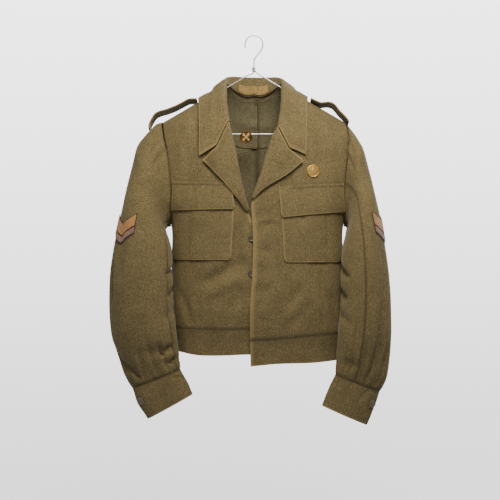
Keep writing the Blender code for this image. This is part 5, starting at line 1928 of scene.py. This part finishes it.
def make_stage():
    """A plain pale floor disc that fades into the pale surroundings at its rim."""
    mesh = bpy.data.meshes.new("floor")
    steps = 96
    rings = (0.0, 0.8, 1.6, FLOOR_RADIUS)
    vertices = [(0, 0, FLOOR_Z)]
    for radius in rings[1:]:
        for k in range(steps):
            turn = 2 * pi * k / steps
            vertices.append((radius * cos(turn), radius * sin(turn), FLOOR_Z))
    faces = [(0, 1 + k, 1 + (k + 1) % steps) for k in range(steps)]
    for i in range(len(rings) - 2):
        low = 1 + i * steps
        for k in range(steps):
            j = (k + 1) % steps
            faces.append((low + k, low + steps + k, low + steps + j, low + j))
    mesh.from_pydata(vertices, [], faces)
    made, shader, add, link = node_maker("floor")
    shader.inputs["Base Color"].default_value = (0.80, 0.80, 0.80, 1.0)
    shader.inputs["Emission Color"].default_value = (1.0, 1.0, 1.0, 1.0)
    shader.inputs["Emission Strength"].default_value = FLOOR_GLOW
    shader.inputs["Roughness"].default_value = 0.95
    where = add("ShaderNodeTexCoord").outputs["Object"]
    length = add("ShaderNodeVectorMath", operation="LENGTH")
    link(where, length.inputs[0])
    fade = add("ShaderNodeMapRange", interpolation_type="SMOOTHSTEP")
    link(length.outputs["Value"], fade.inputs["Value"])
    fade.inputs["From Min"].default_value = FLOOR_RADIUS * 0.30
    fade.inputs["From Max"].default_value = FLOOR_RADIUS * 0.95
    glow = add("ShaderNodeEmission")
    glow.inputs["Color"].default_value = (1.0, 1.0, 1.0, 1.0)
    glow.inputs["Strength"].default_value = FLOOR_RIM_GLOW
    mixed = add("ShaderNodeMixShader")
    link(fade.outputs["Result"], mixed.inputs[0])
    link(shader.outputs[0], mixed.inputs[1])
    link(glow.outputs[0], mixed.inputs[2])
    link(mixed.outputs[0], made.node_tree.nodes["Material Output"].inputs["Surface"])
    mesh.materials.append(made)
    stage = bpy.data.objects.new("floor", mesh)
    bpy.context.scene.collection.objects.link(stage)
    stage.visible_diffuse = False


def area_light(name, place, target, size, power, colour=(1.0, 1.0, 1.0)):
    data = bpy.data.lights.new(name, "AREA")
    data.shape = "DISK"
    data.size = size
    data.energy = power
    data.color = colour
    lamp = bpy.data.objects.new(name, data)
    lamp.location = place
    lamp.rotation_euler = (Vector(target) - Vector(place)).to_track_quat("-Z", "Y").to_euler()
    bpy.context.scene.collection.objects.link(lamp)


def make_lights():
    area_light("key", (0.10, -0.80, 0.45), (0, 0, -0.35), 0.55, 15.0, (1.0, 0.98, 0.94))
    area_light("fill", (-1.6, -2.2, 0.6), (0, 0, -0.45), 1.4, 7.0)
    area_light("back_key", (0.4, 1.5, 0.9), (0, 0, -0.35), 0.9, 22.0)
    area_light("side", (2.0, 0.1, 0.9), (0, 0, -0.40), 1.0, 9.0)
    world = bpy.data.worlds.new("studio")
    world.use_nodes = True
    nodes = world.node_tree.nodes
    link = world.node_tree.links.new
    part = nodes.new("ShaderNodeSeparateXYZ")
    link(nodes.new("ShaderNodeTexCoord").outputs["Generated"], part.inputs[0])
    height = nodes.new("ShaderNodeMapRange")
    link(part.outputs["Z"], height.inputs["Value"])
    height.inputs["From Min"].default_value = -0.22
    height.inputs["From Max"].default_value = 0.22
    height.inputs["To Min"].default_value = PALE_LOW
    height.inputs["To Max"].default_value = PALE_HIGH
    seen = nodes.new("ShaderNodeMix")
    link(nodes.new("ShaderNodeLightPath").outputs["Is Camera Ray"], seen.inputs[0])
    seen.inputs[2].default_value = AMBIENT
    link(height.outputs["Result"], seen.inputs[3])
    nodes["Background"].inputs["Color"].default_value = (1.0, 1.0, 1.0, 1.0)
    link(seen.outputs[0], nodes["Background"].inputs["Strength"])
    bpy.context.scene.world = world


def make_camera():
    data = bpy.data.cameras.new("camera")
    data.sensor_fit = "HORIZONTAL"
    data.sensor_width = 36.0
    data.lens = 89.1
    camera = bpy.data.objects.new("camera", data)
    camera.location = (-0.0084, -2.6, -0.4494)
    camera.rotation_euler = (pi / 2, 0, 0)
    bpy.context.scene.collection.objects.link(camera)
    bpy.context.scene.camera = camera


make_body()
make_waistband()
make_yoke()
make_seam_allowance()
make_collar()
make_neck_tape()
make_lapels()
make_pockets()
make_flaps()
make_sleeves()
make_cuffs()
make_straps()
make_chevrons()
make_buttons()
make_discs()
make_hanger()
make_stitches("stitching", sewn, SEWING_LOOK)
make_stage()
make_lights()
make_camera()

bpy.context.view_layer.update()
